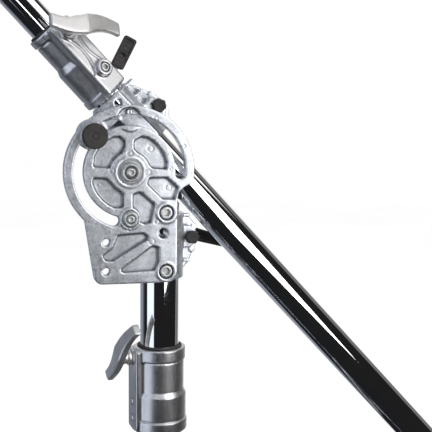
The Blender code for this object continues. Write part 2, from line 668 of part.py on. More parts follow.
def build_tilt_plate(pan, look):
    place = frame("plate_frame", pan, (-TUBE_OFFSET, 0.0, PIVOT_HEIGHT - COLLAR_TOP))
    plate = prism(plate_outline(), PLATE_FRONT, PLATE_BACK)
    plate = cut(plate, prism(slot_outline(SLOT_R, SLOT_HALF, SLOT_START_DEG, SLOT_END_DEG, 32),
                             PLATE_FRONT - 5.0, PLATE_BACK + 5.0))
    for outline in pocket_outlines().values():
        recess = prism(rounded(outline, 2.4, 1), PLATE_FRONT - 5.0, PLATE_FRONT + POCKET_DEPTH)
        plate = cut(plate, recess)
    seat = prism([(-12.4, 57.0)] + arc((-1.0, 52.5), 12.4, 155.0, 25.0, 10) + [(11.0, 57.0)],
                 PLATE_FRONT - 5.0, PLATE_FRONT + 4.0)
    plate = cut(plate, seat)
    for center, radius in ((LOCK_NUT, 9.0), (PLATE_BOLTS[0], 11.0)):
        plate = join(plate, prism(circle(center, radius, 16), PLATE_FRONT, PLATE_BACK))
    plate = cut(plate, counterbore((0.0, 0.0), PIVOT_BOLT_R + GAP, 11.5, 3.0),
                counterbore(LOCK_NUT, SCREW_R + GAP, 8.4, 2.0))
    for center in PLATE_BOLTS:
        plate = cut(plate, counterbore(center, SCREW_R + GAP, 7.6, BOLT_SEAT))
    for center, radius in ((OPEN_HOLE, 5.3), (SMALL_HOLES[0], 4.0), (SMALL_HOLES[1], 4.0)):
        plate = cut(plate, prism(circle(center, radius), PLATE_FRONT - 5.0, PLATE_BACK + 5.0))
    finish(plate, "tilt_plate", place, look["casting"])

    for label, center in zip(("upper", "lower"), PLATE_BOLTS):
        bolt = facing_front(socket_bolt(FACE_DEPTH - BOLT_SEAT - RISER_OUTER_R - 2.0 * GAP, head=4.4))
        bolt = moved(bolt, x=center[0], y=PLATE_FRONT + BOLT_SEAT - GAP, z=center[1])
        finish(bolt, f"plate_bolt_{label}", place, look["steel"])

    nut = facing_front(ring_nut(PIVOT_BOLT_R + 0.2, 9.0, 6.0))
    finish(moved(nut, y=PLATE_FRONT + 3.0 - 1.5 - 2.0 * GAP), "pivot_nut", place, look["steel"])
    washer = facing_front(tube(11.0, PIVOT_BOLT_R + 0.2, 0.0, 1.5, 16))
    finish(moved(washer, y=PLATE_FRONT + 3.0 - GAP), "pivot_washer", place, look["steel"])

    stop = facing_front(rod(SCREW_R, -PLATE_THICK - 12.0, 5.0, chamfer=0.8))
    finish(moved(stop, x=LOCK_NUT[0], y=PLATE_FRONT, z=LOCK_NUT[1]), "stop_stud", place, look["steel"])
    lock = facing_front(ring_nut(SCREW_R + 0.2, 7.6, 6.0))
    finish(moved(lock, x=LOCK_NUT[0], y=PLATE_FRONT + 2.0 - GAP, z=LOCK_NUT[1]), "stop_nut", place,
           look["steel"])
    return place


def tube_cutter(tube_r):
    """Clears the way of a clamped tube at the tube offset from the pivot."""
    return moved(rod(tube_r + GAP, -150.0, 90.0, ROUND), x=TUBE_OFFSET)


def build_column_clamp(place, look):
    """Two castings that grip the top of the riser, drawn about the pivot."""
    top = -RISER_DROP
    bolt = (TUBE_OFFSET + CLAMP_BOLT_OFFSET, top - 35.0)
    sleeve_r = RISER_OUTER_R + CLAMP_WALL
    low = top - 78.0
    high = top - 10.0
    side = TUBE_OFFSET + sleeve_r - 2.0
    front = block((TUBE_OFFSET - sleeve_r, PLATE_BACK + GAP, low), (side, -GAP, high))
    web = prism([(-7.0, -109.0), (TUBE_OFFSET - 12.0, -111.0), (TUBE_OFFSET - 12.0, -51.0),
                 (15.0, -41.0), (-7.0, -41.0)], PLATE_BACK + 2.0 * GAP, PLATE_BACK + 9.0)
    front = join(front, web)
    flange = rounded([(side - 8.0, top - 21.5), (bolt[0] - 2.0, top - 24.0),
                      (bolt[0] + 6.0, top - 26.0), (bolt[0] + 9.4, top - 31.0),
                      (bolt[0] + 9.4, top - 39.0), (bolt[0] + 6.0, top - 44.0),
                      (bolt[0] - 2.0, top - 46.0), (side - 8.0, top - 48.5)], 3.0, 1)
    front = join(front, prism(flange, -11.0, -2.0 * GAP))
    for level in (top - 12.5, top - 60.5):
        rib = block((side - 8.0, -9.0, level - 1.5),
                    (TUBE_OFFSET + CLAMP_BOLT_OFFSET - 1.0, -3.0 * GAP, level + 1.5))
        front = join(front, rib)
    holes = [tube_cutter(RISER_OUTER_R), prism(circle(bolt, SCREW_R + GAP), -40.0, 40.0),
             prism(circle(LOCK_NUT, SCREW_R + GAP), -40.0, 10.0)]
    for center in PLATE_BOLTS:
        holes.append(prism(circle(center, SCREW_R + GAP), -40.0, -RISER_OUTER_R + 6.0))
    front = cut(front, *holes)
    finish(front, "column_clamp_front", place, look["casting"])

    back = block((TUBE_OFFSET - sleeve_r, GAP, low), (side, sleeve_r, high))
    ear = rounded([(side - 8.0, low + 1.0), (side, low + 1.0), (bolt[0] - 0.5, top - 64.5),
                   (bolt[0] + 7.0, top - 47.0), (bolt[0] + 9.5, top - 38.0),
                   (bolt[0] + 9.0, top - 28.0), (bolt[0] + 5.5, top - 22.0),
                   (bolt[0] + 1.5, top - 13.5), (side - 8.0, top - 13.0)], 3.0, 1)
    back = join(back, prism(ear, 2.0 * GAP, 12.0))
    back = cut(back, tube_cutter(RISER_OUTER_R), prism(circle(bolt, SCREW_R + GAP), -40.0, 40.0))
    finish(back, "column_clamp_rear", place, look["casting"])

    screw = facing_front(hex_bolt(44.0))
    finish(moved(screw, x=bolt[0], y=-11.0 - GAP, z=bolt[1]), "column_clamp_bolt", place,
           look["black"])

    lever_place = frame("clamp_lever_frame", place, (bolt[0], 0.0, bolt[1]))
    hub = facing_front(tube(8.2, SCREW_R + GAP, -33.0, -12.0 - GAP, 16))
    arm = prism(hull_of_circles((0.0, 0.0), 7.5, (LEVER_LENGTH, 0.0), 5.0, 8), 25.6, 32.2)
    arm = cut(arm, facing_front(rod(7.0, -40.0, 40.0)))
    lever = turn(join(hub, arm), 16.0, "Y")
    finish(lever, "clamp_lever", lever_place, look["black"])


# ---- tilting bracket and boom -----------------------------------------------------------------


def knob_place():
    """Knob centre in the boom frame: (across the boom, along the boom)."""
    angle = math.radians(KNOB_DEG - (180.0 - BOOM_RISE_DEG))
    return (-SLOT_R * math.sin(angle), SLOT_R * math.cos(angle))


def build_bracket(place, look):
    """Bracket that turns on the pivot bolt and grips the boom."""
    tilt = frame("tilt_frame", place, turn_deg=(0.0, -(90.0 - BOOM_RISE_DEG), 0.0))
    knob = knob_place()
    edge = TUBE_OFFSET + BRACKET_EDGE
    plate = prism(circle((0.0, 0.0), BRACKET_HUB_R, ROUND), BRACKET_FRONT, BRACKET_BACK)
    arm = rounded([(20.0, -30.0), (edge - 8.0, -22.0), (edge, 8.0), (edge, 67.0), (25.0, 67.0),
                   (20.0, 40.0)], 3.0, 2)
    plate = join(plate, prism(arm, BRACKET_FRONT, BRACKET_BACK))
    plate = join(plate, prism(circle(knob, KNOB_BOSS_R, 20), BRACKET_FRONT, BRACKET_BACK + 4.0))
    tongue = rounded([(knob[0], knob[1] - 9.0), (26.0, knob[1] - 6.0), (30.0, knob[1] + 4.0),
                      (26.0, knob[1] + 10.0), (knob[0], knob[1] + 9.0)], 3.0, 2)
    plate = join(plate, prism(tongue, BRACKET_FRONT, BRACKET_BACK))

    sleeve_r = BOOM_OUTER_R + CLAMP_WALL
    low = 2.0
    high = 64.0
    side = TUBE_OFFSET + sleeve_r - 1.0
    grip = block((TUBE_OFFSET - sleeve_r + 1.0, BRACKET_FRONT + GAP, low), (side, -GAP, high))
    plate = join(plate, grip)
    bolt = (TUBE_OFFSET + CLAMP_BOLT_OFFSET, 25.0)
    flange = rounded([(side - 8.0, 12.0), (bolt[0] - 2.0, 14.0), (bolt[0] + 6.0, 16.0),
                      (bolt[0] + 9.0, 21.0), (bolt[0] + 9.0, 29.0), (bolt[0] + 6.0, 34.0),
                      (bolt[0] - 2.0, 36.0), (side - 8.0, 38.5)], 3.0, 1)
    plate = join(plate, prism(flange, -11.0, -2.0 * GAP))
    rib = block((side - 8.0, -9.0, 46.5), (TUBE_OFFSET + CLAMP_BOLT_OFFSET - 1.0, -3.0 * GAP, 49.5))
    plate = join(plate, rib)
    plate = cut(plate, prism(circle(bolt, SCREW_R + GAP), -60.0, 60.0),
                prism(circle((0.0, 0.0), PIVOT_BOLT_R + GAP, 16), -60.0, 60.0),
                prism(circle(knob, STUD_R + GAP), -60.0, 60.0),
                prism(circle((TUBE_OFFSET + 1.2, 57.0), 4.0), -60.0, -12.0),
                tube_cutter(BOOM_OUTER_R))
    finish(plate, "boom_bracket", tilt, look["casting"])

    back = block((TUBE_OFFSET - sleeve_r + 1.0, GAP, low), (side, sleeve_r, high))
    ear = rounded([(side - 8.0, 65.0), (side, 65.0), (TUBE_OFFSET + 28.0, 56.0),
                   (TUBE_OFFSET + 37.5, 35.0), (TUBE_OFFSET + 41.5, 29.0), (TUBE_OFFSET + 41.5, 20.0),
                   (TUBE_OFFSET + 37.5, 12.0), (TUBE_OFFSET + 32.5, 1.0), (side - 8.0, 1.0)], 3.0, 1)
    back = join(back, prism(ear, 2.0 * GAP, 12.0))
    back = cut(back, tube_cutter(BOOM_OUTER_R), prism(circle(bolt, SCREW_R + GAP), -60.0, 60.0))
    finish(back, "boom_clamp_rear", tilt, look["casting"])
    screw = facing_front(hex_bolt(26.0))
    finish(moved(screw, x=bolt[0], y=-11.0 - GAP, z=bolt[1]), "boom_clamp_bolt", tilt, look["black"])
    nut = facing_front(cut(hexagon(HEX_FLAT, -18.5, -12.0 - GAP), rod(SCREW_R + GAP, -30.0, 0.0)))
    finish(moved(nut, x=bolt[0], z=bolt[1]), "boom_clamp_nut", tilt, look["steel"])

    pin = facing_front(join(rod(PIVOT_BOLT_R, -17.0, 6.8, 16, chamfer=1.2), hexagon(18.0, -23.0, -16.0)))
    finish(moved(pin, y=PLATE_FRONT), "pivot_bolt", tilt, look["steel"])

    knob_frame = frame("knob_frame", tilt, (knob[0], 0.0, knob[1]))
    stud_length = -PLATE_FRONT - 12.0
    stud = facing_front(join(rod(STUD_R, -stud_length, KNOB_NECK + 4.0),
                             rod(7.0, -stud_length - 5.0, -stud_length)))
    stud = moved(stud, y=PLATE_FRONT)
    finish(stud, "knob_stud", knob_frame, look["steel"])
    washer = facing_front(tube(KNOB_R, STUD_R + GAP, GAP, 2.2, 20))
    finish(moved(washer, y=PLATE_FRONT), "knob_washer", knob_frame, look["steel"])
    bore = KNOB_NECK + 4.0 + GAP
    face = KNOB_NECK + KNOB_THICK
    grip = turned([(0.0, bore), (STUD_R + GAP, bore), (STUD_R + GAP, 2.5), (9.0, 2.5), (9.0, KNOB_NECK),
                   (KNOB_R, KNOB_NECK), (KNOB_R, face), (0.0, face)], ROUND, closed=False)
    finish(moved(facing_front(grip), y=PLATE_FRONT), "tilt_knob", knob_frame, look["plastic"])
    return tilt


def build_boom(tilt, look):
    """Outer boom tube with its collar, and the inner tube that slides in it."""
    line = frame("boom_frame", tilt, (TUBE_OFFSET, 0.0, 0.0))
    step = BOOM_COLLAR_LEVELS[2]
    inner_r = BOOM_OUTER_R - BOOM_WALL
    outer = tube(BOOM_OUTER_R, inner_r, -BOOM_REAR, step - GAP)
    finish(outer, "boom_tube", line, look["chrome"])
    cap = turned([(INNER_OUTER_R - 5.0, -BOOM_REAR - 3.0), (BOOM_OUTER_R, -BOOM_REAR - 3.0),
                  (BOOM_OUTER_R, -BOOM_REAR - GAP), (inner_r - GAP, -BOOM_REAR - GAP),
                  (inner_r - GAP, -BOOM_REAR + 16.0), (INNER_OUTER_R - 5.0, -BOOM_REAR + 16.0)],
                 ROUND)
    finish(cap, "boom_end_cap", line, look["plastic"])

    place = frame("boom_collar_frame", line, turn_deg=(0.0, 0.0, BOOM_PAD_TURN_DEG))
    guide_r = INNER_OUTER_R + 2.2
    collar = collar_casting(BOOM_COLLAR_LEVELS, BOOM_COLLAR_RADII, BOOM_OUTER_R + GAP, guide_r,
                            BOOM_PAD, BOOM_PAD_HALF, (69.0, 154.2), BOOM_STEM, BOOM_BOSS,
                            BOOM_SCREW)
    finish(collar, "boom_collar", place, look["casting"])
    inner_gap = INNER_OUTER_R + SLIDE_GAP
    bush = collar_bush(inner_gap, guide_r - GAP, step + GAP, BOOM_COLLAR_LEVELS[5] + GAP,
                       guide_r + 0.6, 1.0)
    window = moved(turn(rod(STUD_R + 1.0, 0.0, 60.0), 90.0, "Y"), z=BOOM_STEM)
    finish(cut(bush, window), "boom_collar_bush", place, look["plastic"])
    screw = turn(socket_bolt(11.0, head_r=4.5, head=4.6, shank_r=3.6), 90.0, "Y")
    finish(moved(screw, x=BOOM_PAD + 3.0 + GAP, z=BOOM_SCREW), "boom_collar_screw", place,
           look["steel"])

    stem = frame("boom_handle_frame", place, (0.0, 0.0, BOOM_STEM), (0.0, 90.0, 0.0))
    seat = BOOM_PAD + BOOM_BOSS
    handle = moved(turn(t_handle(), 47.0, "Z"), z=seat + GAP)
    finish(handle, "boom_handle", stem, look["handle"])
    stud = moved(handle_stud(seat - INNER_OUTER_R - 1.0), z=seat)
    finish(stud, "boom_handle_stud", stem, look["steel"])

    tab_base = BOOM_COLLAR_RADII[0] + 4.2
    hinge = frame("tab_frame", line, (tab_base, 6.0, TAB_HEIGHT), (0.0, -TAB_LEAN_DEG, 0.0))
    finish(build_tab(), "safety_tab", hinge, look["plastic"])
    lug = block((BOOM_COLLAR_RADII[0] - 3.0, 8.3, TAB_HEIGHT - 3.0), (tab_base + 2.8, 11.5, TAB_HEIGHT + 7.0))
    lug = cut(lug, rod(BOOM_COLLAR_RADII[1] + GAP, TAB_HEIGHT - 30.0, TAB_HEIGHT + 30.0, ROUND))
    finish(lug, "tab_lug", line, look["steel"])

    slider = frame("inner_boom_frame", line)
    inner = tube(INNER_OUTER_R, INNER_OUTER_R - INNER_WALL, -INNER_REAR, INNER_FRONT)
    finish(inner, "boom_inner_tube", slider, look["chrome"])
    core_r = INNER_OUTER_R - INNER_WALL - GAP
    spigot = turned([(0.0, INNER_FRONT - 30.0), (core_r, INNER_FRONT - 30.0),
                     (core_r, INNER_FRONT + GAP), (INNER_OUTER_R, INNER_FRONT + GAP),
                     (INNER_OUTER_R, INNER_FRONT + 8.0), (SPIGOT_R + 2.0, INNER_FRONT + 12.0),
                     (SPIGOT_R, INNER_FRONT + 12.0), (SPIGOT_R, INNER_FRONT + 42.0),
                     (SPIGOT_R - 1.8, INNER_FRONT + 44.0), (SPIGOT_R - 1.8, INNER_FRONT + 52.0),
                     (SPIGOT_R, INNER_FRONT + 54.0), (SPIGOT_R, INNER_FRONT + SPIGOT_LENGTH + 11.0),
                     (SPIGOT_R - 1.0, INNER_FRONT + SPIGOT_LENGTH + 12.0),
                     (0.0, INNER_FRONT + SPIGOT_LENGTH + 12.0)], 16, closed=False)
    finish(spigot, "boom_spigot", slider, look["steel"])
    plug = rod(core_r, -INNER_REAR, -INNER_REAR + 16.0, ROUND, chamfer=0.6)
    finish(plug, "inner_boom_plug", slider, look["plastic"])


def build_tab():
    """Flat plastic lever that stands out from the collar, with a small window."""
    half = TAB_WIDTH / 2.0
    outline = rounded([(0.0, -half), (TAB_LENGTH, -half), (TAB_LENGTH, half), (0.0, half)], 2.0, 2)
    tab = prism([(x, z) for x, z in outline], -TAB_THICK / 2.0, TAB_THICK / 2.0)
    recess = rounded([(8.0, -half + 2.5), (TAB_LENGTH - 3.0, -half + 2.5), (TAB_LENGTH - 3.0, half - 2.5),
                      (8.0, half - 2.5)], 1.0, 1)
    tab = cut(tab, prism(recess, -TAB_THICK, -TAB_THICK / 2.0 + 0.8))
    window = [(13.0, -2.4), (16.0, -2.4), (16.0, 2.4), (13.0, 2.4)]
    return cut(tab, prism(window, -TAB_THICK, TAB_THICK))


def main():
    clear_scene()
    look = {
        "chrome": make_material("chrome", (0.86, 0.87, 0.88), 0.05, 1.0),
        "casting": make_material("casting", (0.62, 0.63, 0.66), 0.32, 1.0),
        "handle": make_material("handle", (0.36, 0.36, 0.35), 0.35, 1.0),
        "steel": make_material("steel", (0.55, 0.55, 0.56), 0.25, 1.0),
        "black": make_material("black_steel", (0.05, 0.05, 0.05), 0.45, 0.6),
        "plastic": make_material("plastic", (0.04, 0.04, 0.04), 0.6, 0.0),
        "rubber": make_material("rubber", (0.03, 0.03, 0.03), 0.8, 0.0),
        "painted": make_material("painted", (0.3, 0.3, 0.31), 0.35, 0.6),
    }
    root = frame("stand_frame")
    build_base(root, look)
    carrier = build_leg_carrier(root, look)
    build_legs(root, carrier, look)
    build_column_collar(root, look)
    pan = build_riser(root, look)
    place = build_tilt_plate(pan, look)
    build_column_clamp(place, look)
    tilt = build_bracket(place, look)
    build_boom(tilt, look)
    bpy.context.view_layer.update()


main()
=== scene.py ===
"""Boom lighting stand, laid out as an add-on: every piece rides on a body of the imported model."""
import json
import math

import bmesh
import bpy
import numpy as np
from bpy.props import FloatProperty, FloatVectorProperty, IntProperty, PointerProperty
from mathutils import Matrix, Vector


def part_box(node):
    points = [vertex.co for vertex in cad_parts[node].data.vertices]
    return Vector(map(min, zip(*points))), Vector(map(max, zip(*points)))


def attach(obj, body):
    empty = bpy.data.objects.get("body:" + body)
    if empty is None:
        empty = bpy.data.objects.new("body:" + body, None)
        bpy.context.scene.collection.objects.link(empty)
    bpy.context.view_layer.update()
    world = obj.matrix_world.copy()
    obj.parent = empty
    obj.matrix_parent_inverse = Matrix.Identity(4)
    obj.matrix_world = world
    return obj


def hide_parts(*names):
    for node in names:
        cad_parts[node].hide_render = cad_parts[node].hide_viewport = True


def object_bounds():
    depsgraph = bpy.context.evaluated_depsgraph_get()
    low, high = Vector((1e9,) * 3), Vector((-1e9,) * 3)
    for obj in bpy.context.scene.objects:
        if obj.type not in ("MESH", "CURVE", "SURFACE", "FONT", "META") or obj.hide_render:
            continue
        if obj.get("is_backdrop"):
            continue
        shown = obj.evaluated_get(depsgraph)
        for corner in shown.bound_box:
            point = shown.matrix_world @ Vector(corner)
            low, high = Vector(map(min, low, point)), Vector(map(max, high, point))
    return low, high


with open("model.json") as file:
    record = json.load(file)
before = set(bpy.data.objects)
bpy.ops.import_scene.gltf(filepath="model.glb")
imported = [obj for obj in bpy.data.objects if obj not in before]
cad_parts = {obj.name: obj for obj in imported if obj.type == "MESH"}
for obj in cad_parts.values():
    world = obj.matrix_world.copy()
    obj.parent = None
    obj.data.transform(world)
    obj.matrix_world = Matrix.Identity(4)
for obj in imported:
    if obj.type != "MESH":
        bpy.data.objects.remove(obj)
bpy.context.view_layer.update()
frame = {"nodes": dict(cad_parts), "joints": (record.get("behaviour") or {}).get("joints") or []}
NODES = frame["nodes"]
JOINTS = {joint["name"]: joint for joint in frame["joints"]}

bl_info = {
    "name": "Boom lighting stand",
    "version": (1, 0, 0),
    "blender": (4, 5, 0),
    "location": "3D View > Sidebar > Stand",
    "description": "Builds the looks of a boom lighting stand on its packed model",
    "category": "Object",
}

MM = 0.001
GAP = 0.3                      # clearance between neighbouring pieces, in millimetres

# ---- sizes in millimetres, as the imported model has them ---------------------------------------
COLUMN_R, COLUMN_BORE = 24.0, 21.5
RISER_R, RISER_BORE = 20.0, 18.0
BOOM_R, BOOM_BORE = 17.5, 15.5
INNER_R, INNER_BORE = 15.0, 13.2
TUBE_OFFSET = 38.0
PLATE_FRONT, PLATE_BACK = -33.0, -23.0
POCKET_FLOOR = -28.0
SLOT_R, SLOT_HALF = 52.0, 5.25
LOCK_NUT = (0.0, -47.3)
PLATE_BOLTS = ((37.5, -42.2), (37.5, -102.9))
OPEN_HOLE = (34.2, -63.2)
SMALL_HOLES = ((-24.5, -71.0), (-24.6, -100.7))
BRACKET_FRONT, BRACKET_BACK = -22.7, -18.2
CLAMP_BOLT = 31.5
COLUMN_BOLT_HEIGHT = -71.0
BOOM_BOLT_HEIGHT = 25.0
HEADINGS = (200.0, 320.0, 80.0)
SPREAD = 50.0
HINGE_R = 50.0
LEG_SEAT = 50.0
BRACE_HINGE = 30.0
LEG_R, LEG_BORE, LEG_LENGTH, LINK = 12.5, 11.0, 560.0, 240.0
COLUMN_LEVELS = (-90.0, -77.0, -51.0, -46.0, -13.7, 0.0)
COLUMN_RADII = (29.7, 28.5, 26.0, 27.5)
BOOM_LEVELS = (67.6, 76.5, 112.0, 118.0, 146.5, 155.6)
BOOM_RADII = (23.4, 22.4, 20.0, 21.3)


# ---- places -----------------------------------------------------------------------------------
def shift(x=0.0, y=0.0, z=0.0):
    return Matrix.Translation((x * MM, y * MM, z * MM))


def spin(degrees, axis):
    return Matrix.Rotation(math.radians(degrees), 4, axis)


def along(direction):
    """Frame whose local Z is a direction in the XZ plane and whose local Y is the world's."""
    z = Vector(direction).normalized()
    y = Vector((0.0, 1.0, 0.0))
    x = y.cross(z)
    return Matrix((x, y, z)).transposed().to_4x4()


PIVOT = Matrix.Translation(JOINTS["boom_tilt"]["pos_m"])
TILT = PIVOT @ along(JOINTS["boom_slide"]["axis"])
BOOM = TILT @ shift(TUBE_OFFSET)
COLLAR_TOP = JOINTS["riser_pan"]["pos_m"][2] / MM
LEG_HEIGHT = JOINTS["leg_1_fold"]["pos_m"][2] / MM
COLLAR = shift(z=COLLAR_TOP) @ spin(188.0, "Z")
BOOM_PAD_FRAME = BOOM @ spin(-65.0, "Z")
FRONT = spin(90.0, "X")        # turns local Z towards -Y


# ---- outlines ---------------------------------------------------------------------------------
def arc(center, radius, start, end, steps):
    """Points on a circle between two angles in degrees, both ends included."""
    turns = np.radians(np.linspace(start, end, steps + 1))
    return [(center[0] + radius * math.cos(t), center[1] + radius * math.sin(t)) for t in turns]


def eased(points, radius, steps=5, closed=True):
    """An outline with its corners turned into arcs."""
    result = []
    count = len(points)
    for index in range(count):
        if not closed and index in (0, count - 1):
            result.append(points[index])
            continue
        corner = Vector(points[index])
        before = Vector(points[index - 1]) - corner
        after = Vector(points[(index + 1) % count]) - corner
        half = before.angle(after) / 2.0
        if half > math.radians(80.0):
            result.append(tuple(corner))
            continue
        reach = min(radius / math.tan(half), before.length * 0.45, after.length * 0.45)
        bisector = (before.normalized() + after.normalized()).normalized()
        middle = corner + bisector * (reach / math.cos(half))
        first = corner + before.normalized() * reach - middle
        last = corner + after.normalized() * reach - middle
        for step in range(steps + 1):
            result.append(tuple(middle + first.slerp(last, step / steps)))
    return result


def slot_outline(radius, half, start_deg, end_deg):
    start = arc((0.0, 0.0), radius, start_deg, start_deg, 1)[0]
    end = arc((0.0, 0.0), radius, end_deg, end_deg, 1)[0]
    outer = arc((0.0, 0.0), radius + half, start_deg, end_deg, 90)
    inner = arc((0.0, 0.0), radius - half, end_deg, start_deg, 90)
    return (outer + arc(end, half, end_deg, end_deg + 180.0, 12)[1:-1]
            + inner + arc(start, half, start_deg + 180.0, start_deg + 360.0, 12)[1:-1])


def plate_outline():
    """Ring, blunt end on the right and tapered lower plate."""
    outline = arc((0.0, 0.0), 66.5, -8.0, 222.0, 100)
    outline += [(-45.6, -49.0)]
    outline += arc((-27.9, -104.6), 9.0, 190.0, 270.0, 12)
    outline += arc(PLATE_BOLTS[1], 11.5, 275.0, 360.0, 14)
    outline += [(49.0, -29.0), (50.0, -22.0), (54.8, -17.1), (61.3, -13.6)]
    return outline


def pocket_outlines():
    """Recesses between the ribs of the tilt plate."""
    edge = 38.0
    hub = 22.0
    upper_left = arc((0, 0), edge, 106.0, 165.0, 6) + [(-36.6, 5.6), (-21.2, 5.6)]
    upper_left += arc((0, 0), hub, 161.0, 116.0, 4) + [(-5.0, 24.7), (-4.6, 31.0)]
    upper_right = [(37.3, 4.6), (36.4, 3.2)] + arc((0, 0), hub, 8.0, 80.0, 6)
    upper_right += [(3.8, 31.8)] + arc((0, 0), edge, 72.0, 14.0, 6)
    lower_left = [(-37.4, -5.6), (-23.0, -5.6)] + arc((0, 0), hub + 0.6, 214.0, 254.0, 4)
    lower_left += [(-6.2, -34.6), (-9.8, -36.6)] + arc((0, 0), edge, 256.0, 196.0, 6)[1:]
    lower_mid = [(2.7, -21.8), (11.1, -19.9), (26.0, -33.0), (21.6, -52.3), (14.3, -53.6),
                 (9.8, -48.6), (2.7, -35.6)]
    lower_right = [(19.5, -5.6), (38.4, -5.6), (50.4, -16.6), (46.4, -29.0), (33.2, -28.4),
                   (17.3, -12.8)]
    slant = [(-13.4, -63.2), (14.1, -61.7), (18.9, -66.2), (18.0, -69.3), (-17.4, -90.3),
             (-25.2, -89.7), (-29.0, -82.4), (-21.3, -80.4), (-15.8, -79.0), (-13.5, -74.5)]
    corner = [(22.8, -75.4), (30.0, -76.8), (30.4, -92.0), (25.6, -101.6), (-7.3, -102.6),
              (-9.5, -99.0)]
    return [upper_left, upper_right, lower_left, lower_mid, lower_right, slant, corner]


# ---- solid fields, negative inside, in millimetres --------------------------------------------
def blend_max(a, b, width):
    """Common part of two solids with the edge between them rounded."""
    near = np.maximum(width - np.abs(a - b), 0.0) / width
    return np.maximum(a, b) + near * near * width * 0.25


def blend_min(a, b, width):
    """Union of two solids with a fillet between them."""
    return -blend_max(-a, -b, width)


def less(a, b, width=0.8):
    """The first solid with the second taken away."""
    return blend_max(a, -b, width)


def span(c, low, high):
    return np.maximum(low - c, c - high)


def round_at(u, v, center, radius):
    return np.hypot(u - center[0], v - center[1]) - radius


def within(u, v, outline):
    """Signed distance to a closed outline."""
    near = np.full(np.broadcast(u, v).shape, 1e12)
    sign = np.ones(near.shape)
    for (ax, ay), (bx, by) in zip(outline, outline[1:] + outline[:1]):
        ex, ey = bx - ax, by - ay
        wx, wy = u - ax, v - ay
        t = np.clip((wx * ex + wy * ey) / (ex * ex + ey * ey + 1e-12), 0.0, 1.0)
        near = np.minimum(near, (wx - ex * t) ** 2 + (wy - ey * t) ** 2)
        side = ex * wy > ey * wx
        flip = ((v >= ay) & (v < by) & side) | ((v < ay) & (v >= by) & ~side)
        sign = np.where(flip, -sign, sign)
    return sign * np.sqrt(near)


def box(x, y, z, low, high, width=1.2):
    sides = blend_max(span(x, low[0], high[0]), span(y, low[1], high[1]), width)
    return blend_max(sides, span(z, low[2], high[2]), width)


def hexagon(u, v, flat):
    reach = np.maximum(np.abs(v), np.abs(u) * 0.8660254 + np.abs(v) * 0.5)
    return reach - flat / 2.0


def capsule(u, v, a, b, radius):
    """Outline round a straight line between two points."""
    ex, ey = b[0] - a[0], b[1] - a[1]
    t = np.clip(((u - a[0]) * ex + (v - a[1]) * ey) / (ex * ex + ey * ey), 0.0, 1.0)
    return np.hypot(u - a[0] - ex * t, v - a[1] - ey * t) - radius


# ---- meshes -----------------------------------------------------------------------------------
def skin_of(field, low, high, step):
    """Quad skin of a field's zero level, with its normals and how sharply it bends."""
    counts = [int(math.ceil((b - a) / step)) + 1 for a, b in zip(low, high)]
    axes = [a + step * np.arange(n) for a, n in zip(low, counts)]
    value = np.broadcast_to(field(*np.ix_(*axes)), counts).astype(np.float64)
    inside = value < 0.0
    total = np.zeros([n - 1 for n in counts], np.int8)
    for i in (0, 1):
        for j in (0, 1):
            for k in (0, 1):
                total += inside[i:counts[0] - 1 + i, j:counts[1] - 1 + j, k:counts[2] - 1 + k]
    active = (total > 0) & (total < 8)
    cells = np.argwhere(active)
    index = np.full(active.shape, -1, np.int64)
    index[active] = np.arange(len(cells))
    place = np.zeros((len(cells), 3))
    hits = np.zeros(len(cells))
    for axis in range(3):
        for i in (0, 1):
            for j in (0, 1):
                start = np.zeros(3, np.int64)
                start[(axis + 1) % 3] = i
                start[(axis + 2) % 3] = j
                end = start.copy()
                end[axis] = 1
                first = value[tuple((cells + start).T)]
                last = value[tuple((cells + end).T)]
                crossed = (first < 0.0) != (last < 0.0)
                share = np.where(crossed, first / np.where(crossed, first - last, 1.0), 0.0)
                reach = np.tile(start.astype(np.float64), (len(cells), 1))
                reach[:, axis] = share
                place += reach * crossed[:, None]
                hits += crossed
    place /= hits[:, None]
    faces = []
    for axis in range(3):
        u = (axis + 1) % 3
        w = (axis + 2) % 3
        low_side = np.take(inside, range(counts[axis] - 1), axis)
        high_side = np.take(inside, range(1, counts[axis]), axis)
        edges = np.argwhere(low_side != high_side)
        du = np.eye(3, dtype=np.int64)[u]
        dw = np.eye(3, dtype=np.int64)[w]
        quad = np.stack([index[tuple(e.T)] for e in (edges, edges - du, edges - du - dw, edges - dw)], 1)
        solid_low = low_side[tuple(edges.T)]
        faces.append(np.where(solid_low[:, None], quad, quad[:, ::-1]))
    faces = np.concatenate(faces)
    slopes = np.gradient(value, step)
    bend = sum(np.gradient(slope, step, axis=n) for n, slope in enumerate(slopes))
    normals = np.zeros((len(cells), 3))
    bends = np.zeros(len(cells))
    for i in (0, 1):
        for j in (0, 1):
            for k in (0, 1):
                corner = np.array((i, j, k))
                weight = np.prod(np.where(corner, place, 1.0 - place), axis=1)
                at = tuple((cells + corner).T)
                normals += np.stack([slope[at] for slope in slopes], 1) * weight[:, None]
                bends += bend[at] * weight
    normals /= np.linalg.norm(normals, axis=1)[:, None] + 1e-12
    return np.array(low) + (cells + place) * step, faces, normals, bends


def mesh_from(name, points, faces, normals, place, bends=None):
    """Mesh in metres from millimetre points carried to their place, with given normals."""
    spot = np.array(place)
    points = points * MM @ spot[:3, :3].T + spot[:3, 3]
    normals = normals @ spot[:3, :3].T
    mesh = bpy.data.meshes.new(name)
    mesh.from_pydata(points.tolist(), [], faces if isinstance(faces, list) else faces.tolist())
    mesh.shade_smooth()
    mesh.normals_split_custom_set_from_vertices(normals.tolist())
    edge = mesh.attributes.new("bend", "FLOAT", "POINT")
    edge.data.foreach_set("value", np.zeros(len(points)) if bends is None else bends)
    return mesh


